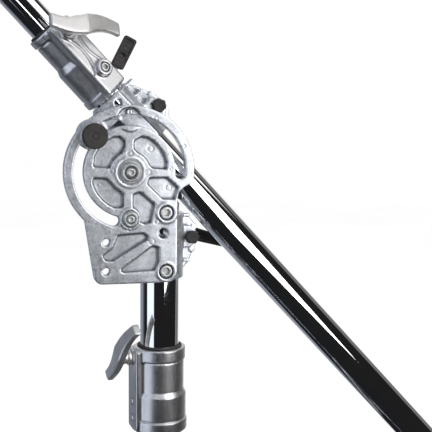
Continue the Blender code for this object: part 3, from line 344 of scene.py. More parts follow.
def cast_mesh(name, field, low, high, place, step=0.8):
    points, faces, normals, bends = skin_of(field, low, high, step)
    return mesh_from(name, points, faces, normals, place, np.clip(bends, -1.5, 2.5))


def spun_mesh(name, profile, place, sides=96, ease=0.5, closed=True):
    """Profile of (radius, height) corners spun about local Z, with its corners eased."""
    line = eased([tuple(p) for p in profile], ease, 4, closed)
    count = len(line)
    pairs = [(i, (i + 1) % count) for i in range(count if closed else count - 1)]
    flow = np.zeros((count, 2))
    for first, last in pairs:
        step = np.array(line[last]) - np.array(line[first])
        length = np.linalg.norm(step)
        facing = np.array((step[1], -step[0])) * length
        flow[first] += facing
        flow[last] += facing
    flow /= np.linalg.norm(flow, axis=1)[:, None] + 1e-12
    turns = 2.0 * np.pi * np.arange(sides) / sides
    points, normals, rings = [], [], []
    for (radius, height), (out, up) in zip(line, flow):
        if radius < 1e-6:
            rings.append([len(points)] * sides)
            points.append((0.0, 0.0, height))
            normals.append((0.0, 0.0, math.copysign(1.0, up)))
            continue
        rings.append(list(range(len(points), len(points) + sides)))
        points += [(radius * math.cos(t), radius * math.sin(t), height) for t in turns]
        normals += [(out * math.cos(t), out * math.sin(t), up) for t in turns]
    faces = []
    for first, last in pairs:
        for side in range(sides):
            after = (side + 1) % sides
            corners = [rings[first][side], rings[first][after], rings[last][after], rings[last][side]]
            face = [c for n, c in enumerate(corners) if corners.index(c) == n]
            if len(face) > 2:
                faces.append(tuple(face))
    return mesh_from(name, np.array(points), faces, np.array(normals), place)


def joined(name, meshes):
    """One mesh from several, with their normals and bend values kept."""
    points, faces, normals, bends = [], [], [], []
    start = 0
    for mesh in meshes:
        count = len(mesh.vertices)
        points += [tuple(v.co) for v in mesh.vertices]
        faces += [tuple(i + start for i in p.vertices) for p in mesh.polygons]
        facing = [None] * count
        for loop, corner in zip(mesh.loops, mesh.corner_normals):
            facing[loop.vertex_index] = tuple(corner.vector)
        normals += facing
        bends += [item.value for item in mesh.attributes["bend"].data]
        start += count
        bpy.data.meshes.remove(mesh)
    return mesh_from(name, np.array(points) / MM, faces, np.array(normals), Matrix.Identity(4),
                     np.array(bends))


# ---- shader nodes -----------------------------------------------------------------------------
class Wire:
    """A socket that can be added, multiplied and so on like a number."""

    def __init__(self, recipe, socket):
        self.recipe = recipe
        self.socket = socket

    def maths(self, operation, first, second):
        return self.recipe.node("ShaderNodeMath", {"operation": operation}, [first, second])

    def __add__(self, other):
        return self.maths("ADD", self, other)

    def __radd__(self, other):
        return self.maths("ADD", other, self)

    def __sub__(self, other):
        return self.maths("SUBTRACT", self, other)

    def __rsub__(self, other):
        return self.maths("SUBTRACT", other, self)

    def __mul__(self, other):
        return self.maths("MULTIPLY", self, other)

    def __rmul__(self, other):
        return self.maths("MULTIPLY", other, self)


class Recipe:
    """Node tree of one material or world, built node by node."""

    def __init__(self, owner):
        owner.use_nodes = True
        self.tree = owner.node_tree
        self.tree.nodes.clear()

    def node(self, kind, settings=None, values=(), out=0):
        """Adds a node, makes its settings, then sets or links its sockets."""
        made = self.tree.nodes.new(kind)
        for key, value in (settings or {}).items():
            if key == "stops":
                ramp = made.color_ramp
                for number, (spot, color) in enumerate(value):
                    stop = ramp.elements[number] if number < 2 else ramp.elements.new(spot)
                    stop.position = spot
                    stop.color = (*color, 1.0)
            else:
                setattr(made, key, value)
        pairs = values.items() if isinstance(values, dict) else enumerate(values)
        for key, value in pairs:
            if isinstance(value, Wire):
                self.tree.links.new(value.socket, made.inputs[key])
            else:
                made.inputs[key].default_value = value
        return Wire(self, made.outputs[out]) if len(made.outputs) else None

    def spots(self, scale=(1.0, 1.0, 1.0), angle=(0.0, 0.0, 0.0)):
        """Object coordinates, stretched or turned."""
        where = self.node("ShaderNodeTexCoord", out="Object")
        return self.node("ShaderNodeMapping", {}, {"Vector": where, "Scale": scale, "Rotation": angle})

    def noise(self, scale, detail=3.0, spots=None, rough=0.55):
        return self.node("ShaderNodeTexNoise", {},
                         {"Vector": spots or self.spots(), "Scale": scale, "Detail": detail,
                          "Roughness": rough})

    def fade(self, value, low, high, first, last):
        """Carries a value from one range to another, held at both ends."""
        return self.node("ShaderNodeMapRange", {"clamp": True}, [value, low, high, first, last])

    def mix(self, share, first, last, blend="MIX"):
        made = self.tree.nodes.new("ShaderNodeMix")
        made.data_type = "RGBA"
        made.blend_type = blend
        for socket, value in ((0, share), (6, first), (7, last)):
            if isinstance(value, Wire):
                self.tree.links.new(value.socket, made.inputs[socket])
            else:
                made.inputs[socket].default_value = value if socket == 0 else (*value, 1.0)
        return Wire(self, made.outputs[2])

    def bump(self, height, strength, distance, under=None):
        values = {"Height": height, "Strength": strength, "Distance": distance}
        if under is not None:
            values["Normal"] = under
        return self.node("ShaderNodeBump", {}, values)

    def surface(self, **values):
        """Ends a material in a Principled shader; names use _ for a space."""
        words = {key.replace("_", " "): value for key, value in values.items()}
        shader = self.node("ShaderNodeBsdfPrincipled", {}, words)
        self.node_out(shader)

    def node_out(self, shader, kind="ShaderNodeOutputMaterial"):
        self.node(kind, {}, {"Surface": shader})


def cast_finish(name, tone, shine, depth, spread, metallic=0.9, relief=1.0, bend_gain=1.0):
    """Tumbled casting: cloudy tone and fine grain, with a painted highlight on convex rims and painted shade
    in concave hollows.
    """
    material = bpy.data.materials.new(name)
    recipe = Recipe(material)
    clouds = recipe.noise(90.0, 4.0)
    patches = recipe.noise(430.0, 3.0)
    grain = recipe.noise(2600.0, 2.0)
    bend = recipe.node("ShaderNodeAttribute", {"attribute_name": "bend"}, out="Fac")
    # rim: convex edges, where the colour gets a painted highlight below; the last argument scales this mask
    # and the hollow mask
    rim = recipe.fade(bend * bend_gain, 0.12, 0.9, 0.0, 1.0)
    # hollow: concave places, where the colour gets painted shade below
    hollow = recipe.fade(bend * bend_gain, -0.06, -0.5, 0.0, 1.0)
    dark = tuple(c * (1.0 - spread) for c in tone)
    light = tuple(min(1.0, c * (1.0 + spread * 0.8)) for c in tone)
    cloudy = recipe.mix(recipe.fade(clouds * 0.6 + patches * 0.4, 0.36, 0.64, 0.0, 1.0), dark, light)
    # painted highlight: colour lightened on convex rims
    rim_lightened = recipe.mix(rim * 0.55, cloudy, tuple(min(1.0, c * 1.35) for c in tone))
    # painted shade: colour darkened towards a fifth of the tone in concave hollows, as strongly as depth says
    hollow_shaded = recipe.mix(hollow * depth, rim_lightened, tuple(c * 0.22 for c in tone))
    rough = recipe.fade(patches, 0.3, 0.7, shine - 0.06, shine + 0.10)
    rough = rough - rim * 0.08 + hollow * 0.12
    fine = recipe.bump(grain, 0.16 * relief, 0.0002)
    normal = recipe.bump(patches, 0.10 * relief, 0.0006, fine)
    recipe.surface(Base_Color=hollow_shaded, Metallic=metallic, Roughness=rough, Normal=normal)
    return material


def chrome_finish(name, tone, angle):
    """Chrome plate with a faint haze and hairline marks that run along the tube."""
    material = bpy.data.materials.new(name)
    recipe = Recipe(material)
    haze = recipe.noise(35.0, 3.0)
    lines = recipe.noise(60.0, 4.0, recipe.spots((14.0, 14.0, 0.5), angle), 0.7)
    tint = recipe.mix(recipe.fade(haze, 0.35, 0.65, 0.0, 1.0), tuple(c * 0.94 for c in tone), tone)
    rough = recipe.fade(haze, 0.3, 0.75, 0.025, 0.06) + recipe.fade(lines, 0.56, 0.8, 0.0, 0.03)
    normal = recipe.bump(lines, 0.008, 0.0002)
    recipe.surface(Base_Color=tint, Metallic=1.0, Roughness=rough, Normal=normal)
    return material


def plated_finish(name, tone, shine):
    """Zinc-plated steel, slightly cloudy with fine turning marks."""
    material = bpy.data.materials.new(name)
    recipe = Recipe(material)
    clouds = recipe.noise(260.0, 3.0)
    marks = recipe.noise(1500.0, 2.0)
    tint = recipe.mix(recipe.fade(clouds, 0.35, 0.65, 0.0, 1.0), tuple(c * 0.72 for c in tone), tone)
    rough = recipe.fade(clouds, 0.3, 0.7, shine - 0.05, shine + 0.09)
    recipe.surface(Base_Color=tint, Metallic=1.0, Roughness=rough,
                   Normal=recipe.bump(marks, 0.08, 0.0001))
    return material


def moulded_finish(name, tone, rough, scale, relief):
    """Black moulded plastic or rubber with a fine spark-eroded grain."""
    material = bpy.data.materials.new(name)
    recipe = Recipe(material)
    grain = recipe.noise(scale, 3.0)
    clouds = recipe.noise(120.0, 2.0)
    tint = recipe.mix(recipe.fade(clouds * 0.5 + grain * 0.5, 0.35, 0.65, 0.0, 1.0),
                      tuple(c * 0.7 for c in tone), tuple(c * 1.45 for c in tone))
    recipe.surface(Base_Color=tint, Metallic=0.0, Specular_IOR_Level=0.2,
                   Roughness=recipe.fade(grain, 0.3, 0.7, rough - 0.06, rough + 0.1),
                   Normal=recipe.bump(grain, relief, 0.0003))
    return material


FINISHES = {}


def finish(kind):
    """The finish of that name, made once with the colours in the panel."""
    if kind in FINISHES:
        return FINISHES[kind]
    look = bpy.context.scene.stand_finish
    boom_turn = (0.0, math.radians(43.0), 0.0)
    makers = {
        # Cast finishes paint shade into hollows and a highlight onto rims: the second number sets how dark
        # that shade is, an eighth argument scales both
        "cast": lambda: cast_finish("tumbled_casting", look.casting, 0.33, 0.9, 0.30, 0.9, 0.35),
        "collar": lambda: cast_finish("polished_collar", look.collar, 0.34, 0.5, 0.08, 1.0, 0.03, 0.2),
        "handle": lambda: cast_finish("satin_wing", look.handle, 0.46, 0.6, 0.08, 1.0, 0.05, 0.25),
        "chrome": lambda: chrome_finish("column_chrome", look.chrome, (0.0, 0.0, 0.0)),
        "boom_chrome": lambda: chrome_finish("boom_chrome", look.chrome, boom_turn),
        "steel": lambda: plated_finish("zinc_plate", look.steel, 0.42),
        "brace": lambda: cast_finish("plated_bar", look.steel, 0.28, 0.4, 0.08, 1.0),
        "oxide": lambda: moulded_finish("black_oxide", look.oxide, 0.46, 900.0, 0.10),
        "plastic": lambda: moulded_finish("grained_plastic", look.plastic, 0.62, 1500.0, 0.30),
        "rubber": lambda: moulded_finish("foot_rubber", look.plastic, 0.78, 700.0, 0.35),
    }
    FINISHES[kind] = makers[kind]()
    return FINISHES[kind]


def place_piece(mesh, body, kind, *nodes):
    """Links a finished mesh under its own name; ties it to its body, gives it its finish in a material slot
    and hides the CAD nodes it stands for.
    """
    mesh.materials.clear()
    mesh.materials.append(finish(kind))
    piece = bpy.data.objects.new(mesh.name, mesh)
    bpy.context.scene.collection.objects.link(piece)
    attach(piece, body)
    if nodes:
        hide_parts(*nodes)
    return piece


# ---- forms of the head ------------------------------------------------------------------------
def tilt_plate_field(look):
    pockets = [eased(outline, 2.6, 5) for outline in pocket_outlines()]
    outline = plate_outline()
    slot = slot_outline(SLOT_R, SLOT_HALF, -3.0, 252.0)
    recess = [(-12.4, 56.5)] + arc((-0.8, 52.6), 12.4, 160.0, 20.0, 18) + [(11.2, 56.5)]
    lens = eased([(-12.4, 44.6), (-0.4, 47.2), (10.7, 45.0), (3.7, 40.4), (-2.0, 40.0)], 1.5, 4)
    marks = (((21.4, 22.9), 3.0), ((40.3, -16.7), 3.1), ((22.1, -71.3), 3.0), ((27.6, -50.9), 2.6),
             ((-18.1, 1.1), 2.6), ((18.0, -0.3), 2.8), ((-0.3, 18.5), 2.6), ((41.7, 2.5), 1.8),
             ((53.9, 25.6), 2.0), ((25.7, 53.7), 2.0), ((33.1, 27.2), 1.8), ((-30.6, -12.8), 2.2),
             ((-0.8, -57.6), 1.8))
    rim = look.rim / MM
    fillet = look.fillet / MM

    def field(x, y, z):
        solid = blend_max(within(x, z, outline), span(y, PLATE_FRONT, PLATE_BACK), rim * 1.3)
        hollow = np.minimum.reduce([within(x, z, pocket) for pocket in pockets])
        hollow = hollow - 1.7 + (y - PLATE_FRONT) * 0.08
        hollow = blend_max(hollow, y - POCKET_FLOOR, fillet)
        solid = less(solid, hollow, rim)
        sunk = blend_max(within(x, z, recess) + (y - PLATE_FRONT) * 0.1, y - PLATE_FRONT - 3.6, fillet * 0.6)
        solid = less(solid, sunk, rim)
        pin = blend_max(round_at(x, z, (-0.6, 59.6), 2.9), span(y, PLATE_FRONT + 1.2, PLATE_BACK - 2.0), 0.8)
        pin = less(pin, blend_max(np.abs(x + 0.6) - 0.5, y - PLATE_FRONT - 2.2, 0.3), 0.4)
        solid = blend_min(solid, pin, 0.8)
        raised = blend_max(within(x, z, lens), span(y, PLATE_FRONT - 0.9, PLATE_BACK - 2.0), 1.2)
        solid = blend_min(solid, raised, 1.0)
        for center, radius, height in ((LOCK_NUT, 10.6, 0.6), (PLATE_BOLTS[0], 10.6, 0.5),
                                       (PLATE_BOLTS[1], 10.2, 0.3)):
            boss = blend_max(round_at(x, z, center, radius),
                             span(y, PLATE_FRONT - height, PLATE_BACK - 1.0), 1.0)
            solid = blend_min(solid, boss, 1.6)
        dish = np.hypot(x, z)
        ring = blend_max(np.abs(dish - 14.6) - 1.1, span(y, PLATE_FRONT - 0.5, PLATE_BACK - 1.0), 0.8)
        solid = blend_min(solid, ring, 1.0)
        for center, radius in marks:
            groove = np.hypot(np.abs(round_at(x, z, center, radius)), y - PLATE_FRONT + 0.1) - 0.45
            sunken = np.hypot(np.abs(round_at(x, z, center, radius)), y - POCKET_FLOOR + 0.1) - 0.45
            solid = less(solid, np.minimum(groove, sunken), 0.5)
        solid = less(solid, within(x, z, slot) + np.maximum(PLATE_FRONT + 1.0 - y, 0.0) * -0.25, rim)
        solid = less(solid, blend_max(dish - 12.3, y - PLATE_FRONT - 3.0, 0.6), 0.7)
        solid = less(solid, dish - 6.4, 0.6)
        solid = less(solid, blend_max(round_at(x, z, LOCK_NUT, 8.7), y - PLATE_FRONT - 2.0, 0.6), 0.7)
        for center in PLATE_BOLTS:
            seat = blend_max(round_at(x, z, center, 7.7), y - PLATE_FRONT - 5.0, 0.5)
            solid = less(solid, np.minimum(seat, round_at(x, z, center, 4.3)), 0.7)
        for center, radius in ((OPEN_HOLE, 5.2), (SMALL_HOLES[0], 4.0), (SMALL_HOLES[1], 4.0)):
            solid = less(solid, round_at(x, z, center, radius), 0.9)
        return less(solid, round_at(x, z, LOCK_NUT, 4.4), 0.5)

    return field


def saddle(x, y, z, tube_r, wall, low, high, front):
    """Half sleeve round a tube at the tube offset, before its bore is cleared."""
    sleeve = blend_max(round_at(x, y, (TUBE_OFFSET, 0.0), tube_r + wall), span(z, low, high), 1.0)
    half = y + 0.3 if front else 0.3 - y
    return blend_max(sleeve, half, 0.6)


def column_clamp_front_field():
    bolt = (TUBE_OFFSET + CLAMP_BOLT, COLUMN_BOLT_HEIGHT)
    web_outline = [(-7.0, -109.0), (46.0, -111.0), (46.0, -51.0), (15.0, -41.0), (-7.0, -41.0)]
    flange = eased([(52.0, -56.0), (bolt[0] - 2.0, -59.0), (bolt[0] + 5.5, -61.5),
                    (bolt[0] + 9.4, -66.5), (bolt[0] + 9.4, -75.5), (bolt[0] + 5.5, -80.5),
                    (bolt[0] - 2.0, -83.0), (52.0, -86.0)], 3.5, 5)

    def field(x, y, z):
        solid = saddle(x, y, z, RISER_R, 4.6, -114.0, -46.0, True)
        web = blend_max(within(x, z, web_outline), span(y, PLATE_BACK + 0.6, PLATE_BACK + 9.0), 1.2)
        solid = blend_min(solid, web, 3.0)
        ear = blend_max(within(x, z, flange), span(y, -11.0, -0.6), 1.6)
        solid = blend_min(solid, ear, 2.4)
        reach = x - (bolt[0] - 1.0)
        for level in (-48.5, -96.5):
            rib = blend_max(np.abs(z - level) - 1.4, span(y, -9.5, -0.9), 1.0)
            rib = blend_max(rib, np.maximum(50.0 - x, reach), 1.6)
            solid = blend_min(solid, rib, 1.6)
        solid = blend_max(solid, y + 0.45, 0.4)
        holes = np.minimum(round_at(x, z, bolt, 4.3), round_at(x, z, LOCK_NUT, 4.4))
        holes = np.minimum(holes, round_at(x, z, OPEN_HOLE, 5.6))
        for center in PLATE_BOLTS:
            holes = np.minimum(holes, round_at(x, z, center, 4.3))
        solid = less(solid, holes, 0.6)
        return less(solid, round_at(x, y, (TUBE_OFFSET, 0.0), RISER_R + GAP), 0.6)

    return field


def rear_ear_field(tube_r, wall, low, high, outline, bolt, bosses):
    """Rear half of a clamp: banded half sleeve and a flange with small bosses."""
    def field(x, y, z):
        solid = saddle(x, y, z, tube_r, wall, low, high, False)
        ear = blend_max(within(x, z, outline), span(y, 0.6, 12.0), 1.6)
        solid = blend_min(solid, ear, 3.0)
        for level in (low + 3.0, (low + high) / 2.0, high - 3.0):
            band = blend_max(round_at(x, y, (TUBE_OFFSET, 0.0), tube_r + wall + 1.3),
                             np.abs(z - level) - 1.6, 1.0)
            solid = blend_min(solid, blend_max(band, 0.9 - y, 0.8), 1.6)
        solid = blend_max(solid, 0.45 - y, 0.4)
        for center in bosses:
            boss = blend_max(round_at(x, z, center, 3.4), span(y, 0.5, 11.6), 0.8)
            solid = blend_min(solid, boss, 0.9)
        solid = less(solid, round_at(x, z, bolt, 4.3), 0.6)
        return less(solid, round_at(x, y, (TUBE_OFFSET, 0.0), tube_r + GAP), 0.6)

    return field


def bracket_field():
    knob = knob_spot()
    edge = TUBE_OFFSET + 11.0
    bolt = (TUBE_OFFSET + CLAMP_BOLT, BOOM_BOLT_HEIGHT)
    arm = eased([(20.0, -30.0), (edge - 8.0, -22.0), (edge, 8.0), (edge, 67.0), (17.5, 67.0),
                 (17.5, 57.0), (29.5, 47.0), (29.5, 22.0), (20.0, 12.0)], 2.0, 5)
    tongue = eased([(knob[0] - 4.0, 43.2), (28.0, 43.0), (32.5, 45.5), (13.3, 55.6),
                    (knob[0], 61.0)], 2.0, 5)
    flange = eased([(52.0, 10.5), (bolt[0] - 2.0, 13.0), (bolt[0] + 5.5, 15.5), (bolt[0] + 9.2, 20.5),
                    (bolt[0] + 9.2, 29.5), (bolt[0] + 5.5, 34.5), (bolt[0] - 2.0, 37.0),
                    (52.0, 39.5)], 3.5, 5)

    def field(x, y, z):
        sheet = span(y, BRACKET_FRONT, BRACKET_BACK)
        solid = blend_max(round_at(x, z, (0.0, 0.0), 41.0), sheet, 1.2)
        solid = blend_min(solid, blend_max(within(x, z, arm), sheet, 1.2), 2.0)
        solid = blend_min(solid, blend_max(within(x, z, tongue), sheet, 1.2), 2.5)
        boss = blend_max(round_at(x, z, knob, 15.5), span(y, BRACKET_FRONT, BRACKET_BACK + 4.0), 1.2)
        solid = blend_min(solid, boss, 2.5)
        rim = blend_max(np.abs(np.hypot(x, z) - 38.0) - 2.4,
                        span(y, BRACKET_FRONT + 1.0, BRACKET_BACK + 4.0), 1.0)
        solid = blend_min(solid, rim, 1.6)
        hub = blend_max(round_at(x, z, (0.0, 0.0), 13.0),
                        span(y, BRACKET_FRONT + 1.0, BRACKET_BACK + 3.0), 1.0)
        solid = blend_min(solid, hub, 2.5)
        sleeve = saddle(x, y, z, BOOM_R, 4.6, 2.0, 64.0, True)
        solid = blend_min(solid, blend_max(sleeve, BRACKET_FRONT + 0.4 - y, 0.6), 2.0)
        ear = blend_max(within(x, z, flange), span(y, -11.0, -0.6), 1.6)
        solid = blend_min(solid, ear, 2.4)
        for level in (3.6, 47.8, 62.0):
            fin = blend_max(np.abs(z - level) - 1.4, span(y, -9.5, -0.9), 1.0)
            fin = blend_max(fin, np.maximum(50.0 - x, x - bolt[0] + 1.0), 1.6)
            solid = blend_min(solid, fin, 1.6)
        solid = blend_max(solid, y + 0.45, 0.4)
        holes = np.minimum(round_at(x, z, bolt, 4.3), round_at(x, z, (0.0, 0.0), 6.3))
        holes = np.minimum(holes, round_at(x, z, knob, 4.3))
        port = blend_max(round_at(x, z, (39.4, 57.0), 4.0), y + 12.0, 0.5)
        solid = less(solid, np.minimum(holes, port), 0.7)
        return less(solid, round_at(x, y, (TUBE_OFFSET, 0.0), BOOM_R + GAP), 0.6)

    return field


def knob_spot():
    """Lock knob in the tilting frame: across the boom, along the boom."""
    place = TILT.inverted() @ Vector(JOINTS["tilt_knob_turn"]["pos_m"])
    return (place.x / MM, place.z / MM)


# ---- forms of the collars and handles ---------------------------------------------------------
def collar_field(levels, radii, tube_r, guide_r, pad, pad_half, pad_span, stem, boss, screw, bumps):
    """Two-step collar about Z with end caps, a flat pad facing +X and its bosses."""
    bottom, cap_low, step_low, step_high, cap_high, top = levels
    cap_low_r, lower_r, upper_r, cap_high_r = radii

    def field(x, y, z):
        wide = np.hypot(x, y)
        cone = np.clip((z - step_low) / (step_high - step_low), 0.0, 1.0)
        solid = blend_max(wide - lower_r - (upper_r - lower_r) * cone, span(z, bottom + 1.0, top - 1.0), 1.0)
        cap = blend_max(wide - cap_low_r, span(z, bottom, cap_low - 0.6), 1.4)
        solid = blend_min(solid, cap, 0.7)
        cap = blend_max(wide - cap_high_r, span(z, cap_high + 0.6, top), 1.4)
        solid = blend_min(solid, cap, 0.7)
        groove = np.maximum(np.abs(z - cap_low) - 0.5, lower_r - 0.9 - wide)
        solid = less(solid, groove, 0.6)
        groove = np.maximum(np.abs(z - cap_high) - 0.5, upper_r - 0.9 - wide)
        solid = less(solid, groove, 0.6)
        land = box(x, y, z, (0.0, -pad_half, pad_span[0]), (pad, pad_half, pad_span[1]), 3.0)
        solid = blend_min(solid, land, 3.0)
        across = np.hypot(y, z - stem)
        solid = blend_min(solid, blend_max(across - 8.6, span(x, 0.0, pad + boss), 1.2), 2.4)
        if screw is not None:
            waist = np.abs(y) - 2.6 - 0.012 * (z - 0.5 * (stem + screw)) ** 2
            ridge = blend_max(np.abs(waist) - 1.0, span(x, pad - 3.0, pad + 1.2), 0.8)
            ridge = blend_max(ridge, span(z, screw, stem), 0.6)
            solid = blend_min(solid, ridge, 1.6)
            across = np.hypot(y, z - screw)
            solid = blend_min(solid, blend_max(across - 8.3, span(x, 0.0, pad + 8.0), 1.4), 2.0)
            seat = np.maximum(across - 5.0, pad + 3.0 - x)
            solid = less(solid, np.minimum(seat, np.maximum(across - 3.9, guide_r - x)), 0.8)
        for level in bumps:
            bump = blend_max(np.hypot(y, z - level) - 4.2, span(x, pad - 2.0, pad + 1.4), 1.0)
            solid = blend_min(solid, bump, 1.0)
        solid = less(solid, np.maximum(np.hypot(y, z - stem) - 4.3, -x), 0.7)
        bore = np.where(z < step_low, wide - tube_r, wide - guide_r)
        return less(solid, bore, 0.5)

    return field


def t_handle_field(look):
    """Cast wing about +Z: bar off the middle of its round neck, one arm leaning in and one out."""
    half = look.half_length / MM

    def field(x, y, z):
        along = x - 9.0
        u = np.clip(along / half, -1.0, 1.0)
        waist = 1.0 - np.abs(u)
        width = 6.2 + 3.8 * waist ** 1.4 + 1.6 * np.maximum(np.abs(u) - 0.72, 0.0)
        thick = 3.6 + 1.0 * waist
        height = 8.6 - 0.17 * along - 0.06 * np.sqrt(along * along + 16.0) + thick
        sway = 3.2 * np.sin(np.pi * u)
        p = 5.0
        ratio = (np.abs((y - sway) / width) ** p + np.abs((z - height) / thick) ** p) ** (1.0 / p)
        bar = (ratio - 1.0) * thick * 0.9
        bar = blend_max(bar, np.abs(along) - half, 1.6)
        under = blend_max(np.hypot((np.abs(along) - half * 0.52) / 2.4, y - sway) - 3.4,
                          z - height + thick - 0.7, 0.5)
        bar = less(bar, under, 0.7)
        wide = np.hypot(x, y)
        neck = blend_max(wide - 6.6 - 0.16 * np.maximum(z - 5.0, 0.0), span(z, 1.0, 12.5), 0.6)
        neck = blend_min(neck, blend_max(wide - 8.5, span(z, 0.0, 3.2), 0.9), 1.4)
        solid = blend_min(bar, neck, 3.0)
        return less(solid, np.maximum(wide - 4.3, z - 8.0), 0.5)

    return field


# ---- fasteners --------------------------------------------------------------------------------
def hex_bolt_mesh(name, length, place):
    """Hexagon bolt: crowned head above 0, shank below."""
    def field(x, y, z):
        head = blend_max(hexagon(x, y, 13.0), span(z, 0.9, 5.3), 0.5)
        head = blend_max(head, (np.hypot(x, y) - 7.1) * 0.5 + (z - 5.1) * 0.86, 0.4)
        washer = blend_max(np.hypot(x, y) - 6.2, span(z, 0.0, 1.4), 0.3)
        dish = np.maximum(np.hypot(x, y) - 3.6, 5.05 - z)
        shank = blend_max(np.hypot(x, y) - 4.0, span(z, -length, 1.5), 0.8)
        return blend_min(less(np.minimum(head, washer), dish, 0.3), shank, 0.4)
    return cast_mesh(name, field, (-8.6, -8.6, -length - 1.0), (8.6, 8.6, 6.4), place, 0.45)


def socket_bolt_mesh(name, length, head_r, head, shank_r, place):
    """Socket-head bolt: rounded head above 0, shank below."""
    def field(x, y, z):
        wide = np.hypot(x, y)
        cap = blend_max(wide - head_r, span(z, 0.0, head), 1.3)
        cap = less(cap, np.maximum(hexagon(x, y, head_r), head - 3.2 - z), 0.35)
        return blend_min(cap, blend_max(wide - shank_r, span(z, -length, 1.0), 0.7), 0.3)
    reach = head_r + 1.2
    return cast_mesh(name, field, (-reach, -reach, -length - 1.0), (reach, reach, head + 1.0), place, 0.4)


def ring_nut_mesh(name, hole, outer, height, place):
    """Collared lock nut with an eased lip round a dark threaded mouth."""
    profile = [(hole, 0.0), (outer, 0.0), (outer, height * 0.55), (outer - 1.1, height),
               (hole + 1.0, height), (hole, height - 1.2)]
    return spun_mesh(name, profile, place, 64, 0.4)


def pin_mesh(name, place):
    """Hinge pin across local Z with a domed head at each end."""
    half = LEG_R + 1.0 + 5.0 + GAP
    profile = [(0.0, -half - 3.0), (5.4, -half - 3.0), (7.0, -half - 1.4), (7.0, -half), (4.0, -half),
               (4.0, half), (7.0, half), (7.0, half + 1.4), (5.4, half + 3.0), (0.0, half + 3.0)]
    return spun_mesh(name, profile, place, 40, 0.5, closed=False)


def stud_mesh(name, depth, place):
    """Threaded stud along Z: cut thread inside the collar, plain above it."""
    profile = [(0.0, -depth), (3.2, -depth)]
    level = -depth + 0.8
    while level < -2.0:
        profile += [(4.0, level), (3.4, level + 0.6)]
        level += 1.25
    profile += [(4.0, -1.0), (4.0, 7.0), (3.4, 7.6), (0.0, 7.6)]
    return spun_mesh(name, profile, place, 32, 0.12, closed=False)


# ---- settings ---------------------------------------------------------------------------------
class StandCastings(bpy.types.PropertyGroup):
    """Edges and fillets of the castings"""
    rim: FloatProperty(name="Rim", description="Rounding of outer edges", default=0.0009,
                       min=0.0004, max=0.004, unit="LENGTH")
    fillet: FloatProperty(name="Fillet", description="Rounding at the foot of a pocket wall", default=0.0024,
                          min=0.001, max=0.006, unit="LENGTH")
    skin: FloatProperty(name="Skin step", description="Spacing of the mesh on castings", default=0.0008,
                        min=0.0005, max=0.002, unit="LENGTH")


class StandHandles(bpy.types.PropertyGroup):
    """Size of the T-handles"""
    half_length: FloatProperty(name="Arm", description="Length of a T-handle's arm from its stem",
                               default=0.040, min=0.02, max=0.048, unit="LENGTH")


class StandTubes(bpy.types.PropertyGroup):
    """Roundness of the tubes and the tread on the feet"""
    sides: IntProperty(name="Sides", description="Flats round a tube", default=96, min=24, max=192)
    treads: IntProperty(name="Treads", description="Ribs round each rubber foot", default=28, min=6, max=60)
    grips: IntProperty(name="Grips", description="Ribs round the lock knob", default=36, min=6, max=80)


class StandFinish(bpy.types.PropertyGroup):
    """Colours of the finishes"""
    casting: FloatVectorProperty(name="Casting", description="Tumbled head castings", subtype="COLOR",
                                 default=(0.54, 0.56, 0.60), min=0.0, max=1.0)
    collar: FloatVectorProperty(name="Collar", description="Polished collars", subtype="COLOR",
                                default=(0.62, 0.62, 0.63), min=0.0, max=1.0)
    handle: FloatVectorProperty(name="Handle", description="Satin T-handles", subtype="COLOR",
                                default=(0.80, 0.79, 0.78), min=0.0, max=1.0)
    chrome: FloatVectorProperty(name="Chrome", description="Chrome plate on the tubes", subtype="COLOR",
                                default=(0.92, 0.93, 0.95), min=0.0, max=1.0)
    steel: FloatVectorProperty(name="Steel", description="Zinc-plated fasteners", subtype="COLOR",
                               default=(0.66, 0.67, 0.67), min=0.0, max=1.0)
    oxide: FloatVectorProperty(name="Black steel", description="Black oxide on bolts and lever",
                               subtype="COLOR", default=(0.012, 0.012, 0.012), min=0.0, max=1.0)
    plastic: FloatVectorProperty(name="Plastic", description="Black plastic and rubber", subtype="COLOR",
                                 default=(0.019, 0.018, 0.0175), min=0.0, max=1.0)


class StandStage(bpy.types.PropertyGroup):
    """Floor, light and the panels that the chrome reflects"""
    floor: FloatVectorProperty(name="Floor", description="Pale studio floor", subtype="COLOR",
                               default=(0.97, 0.97, 0.97), min=0.0, max=1.0)
    panel: FloatProperty(name="White panel", description="Brightness of the white panels", default=1.15,
                         min=0.0, max=5.0)
    key: FloatProperty(name="Key light", description="Power of the large soft light", default=20.0,
                       min=0.0, max=500.0, unit="POWER")


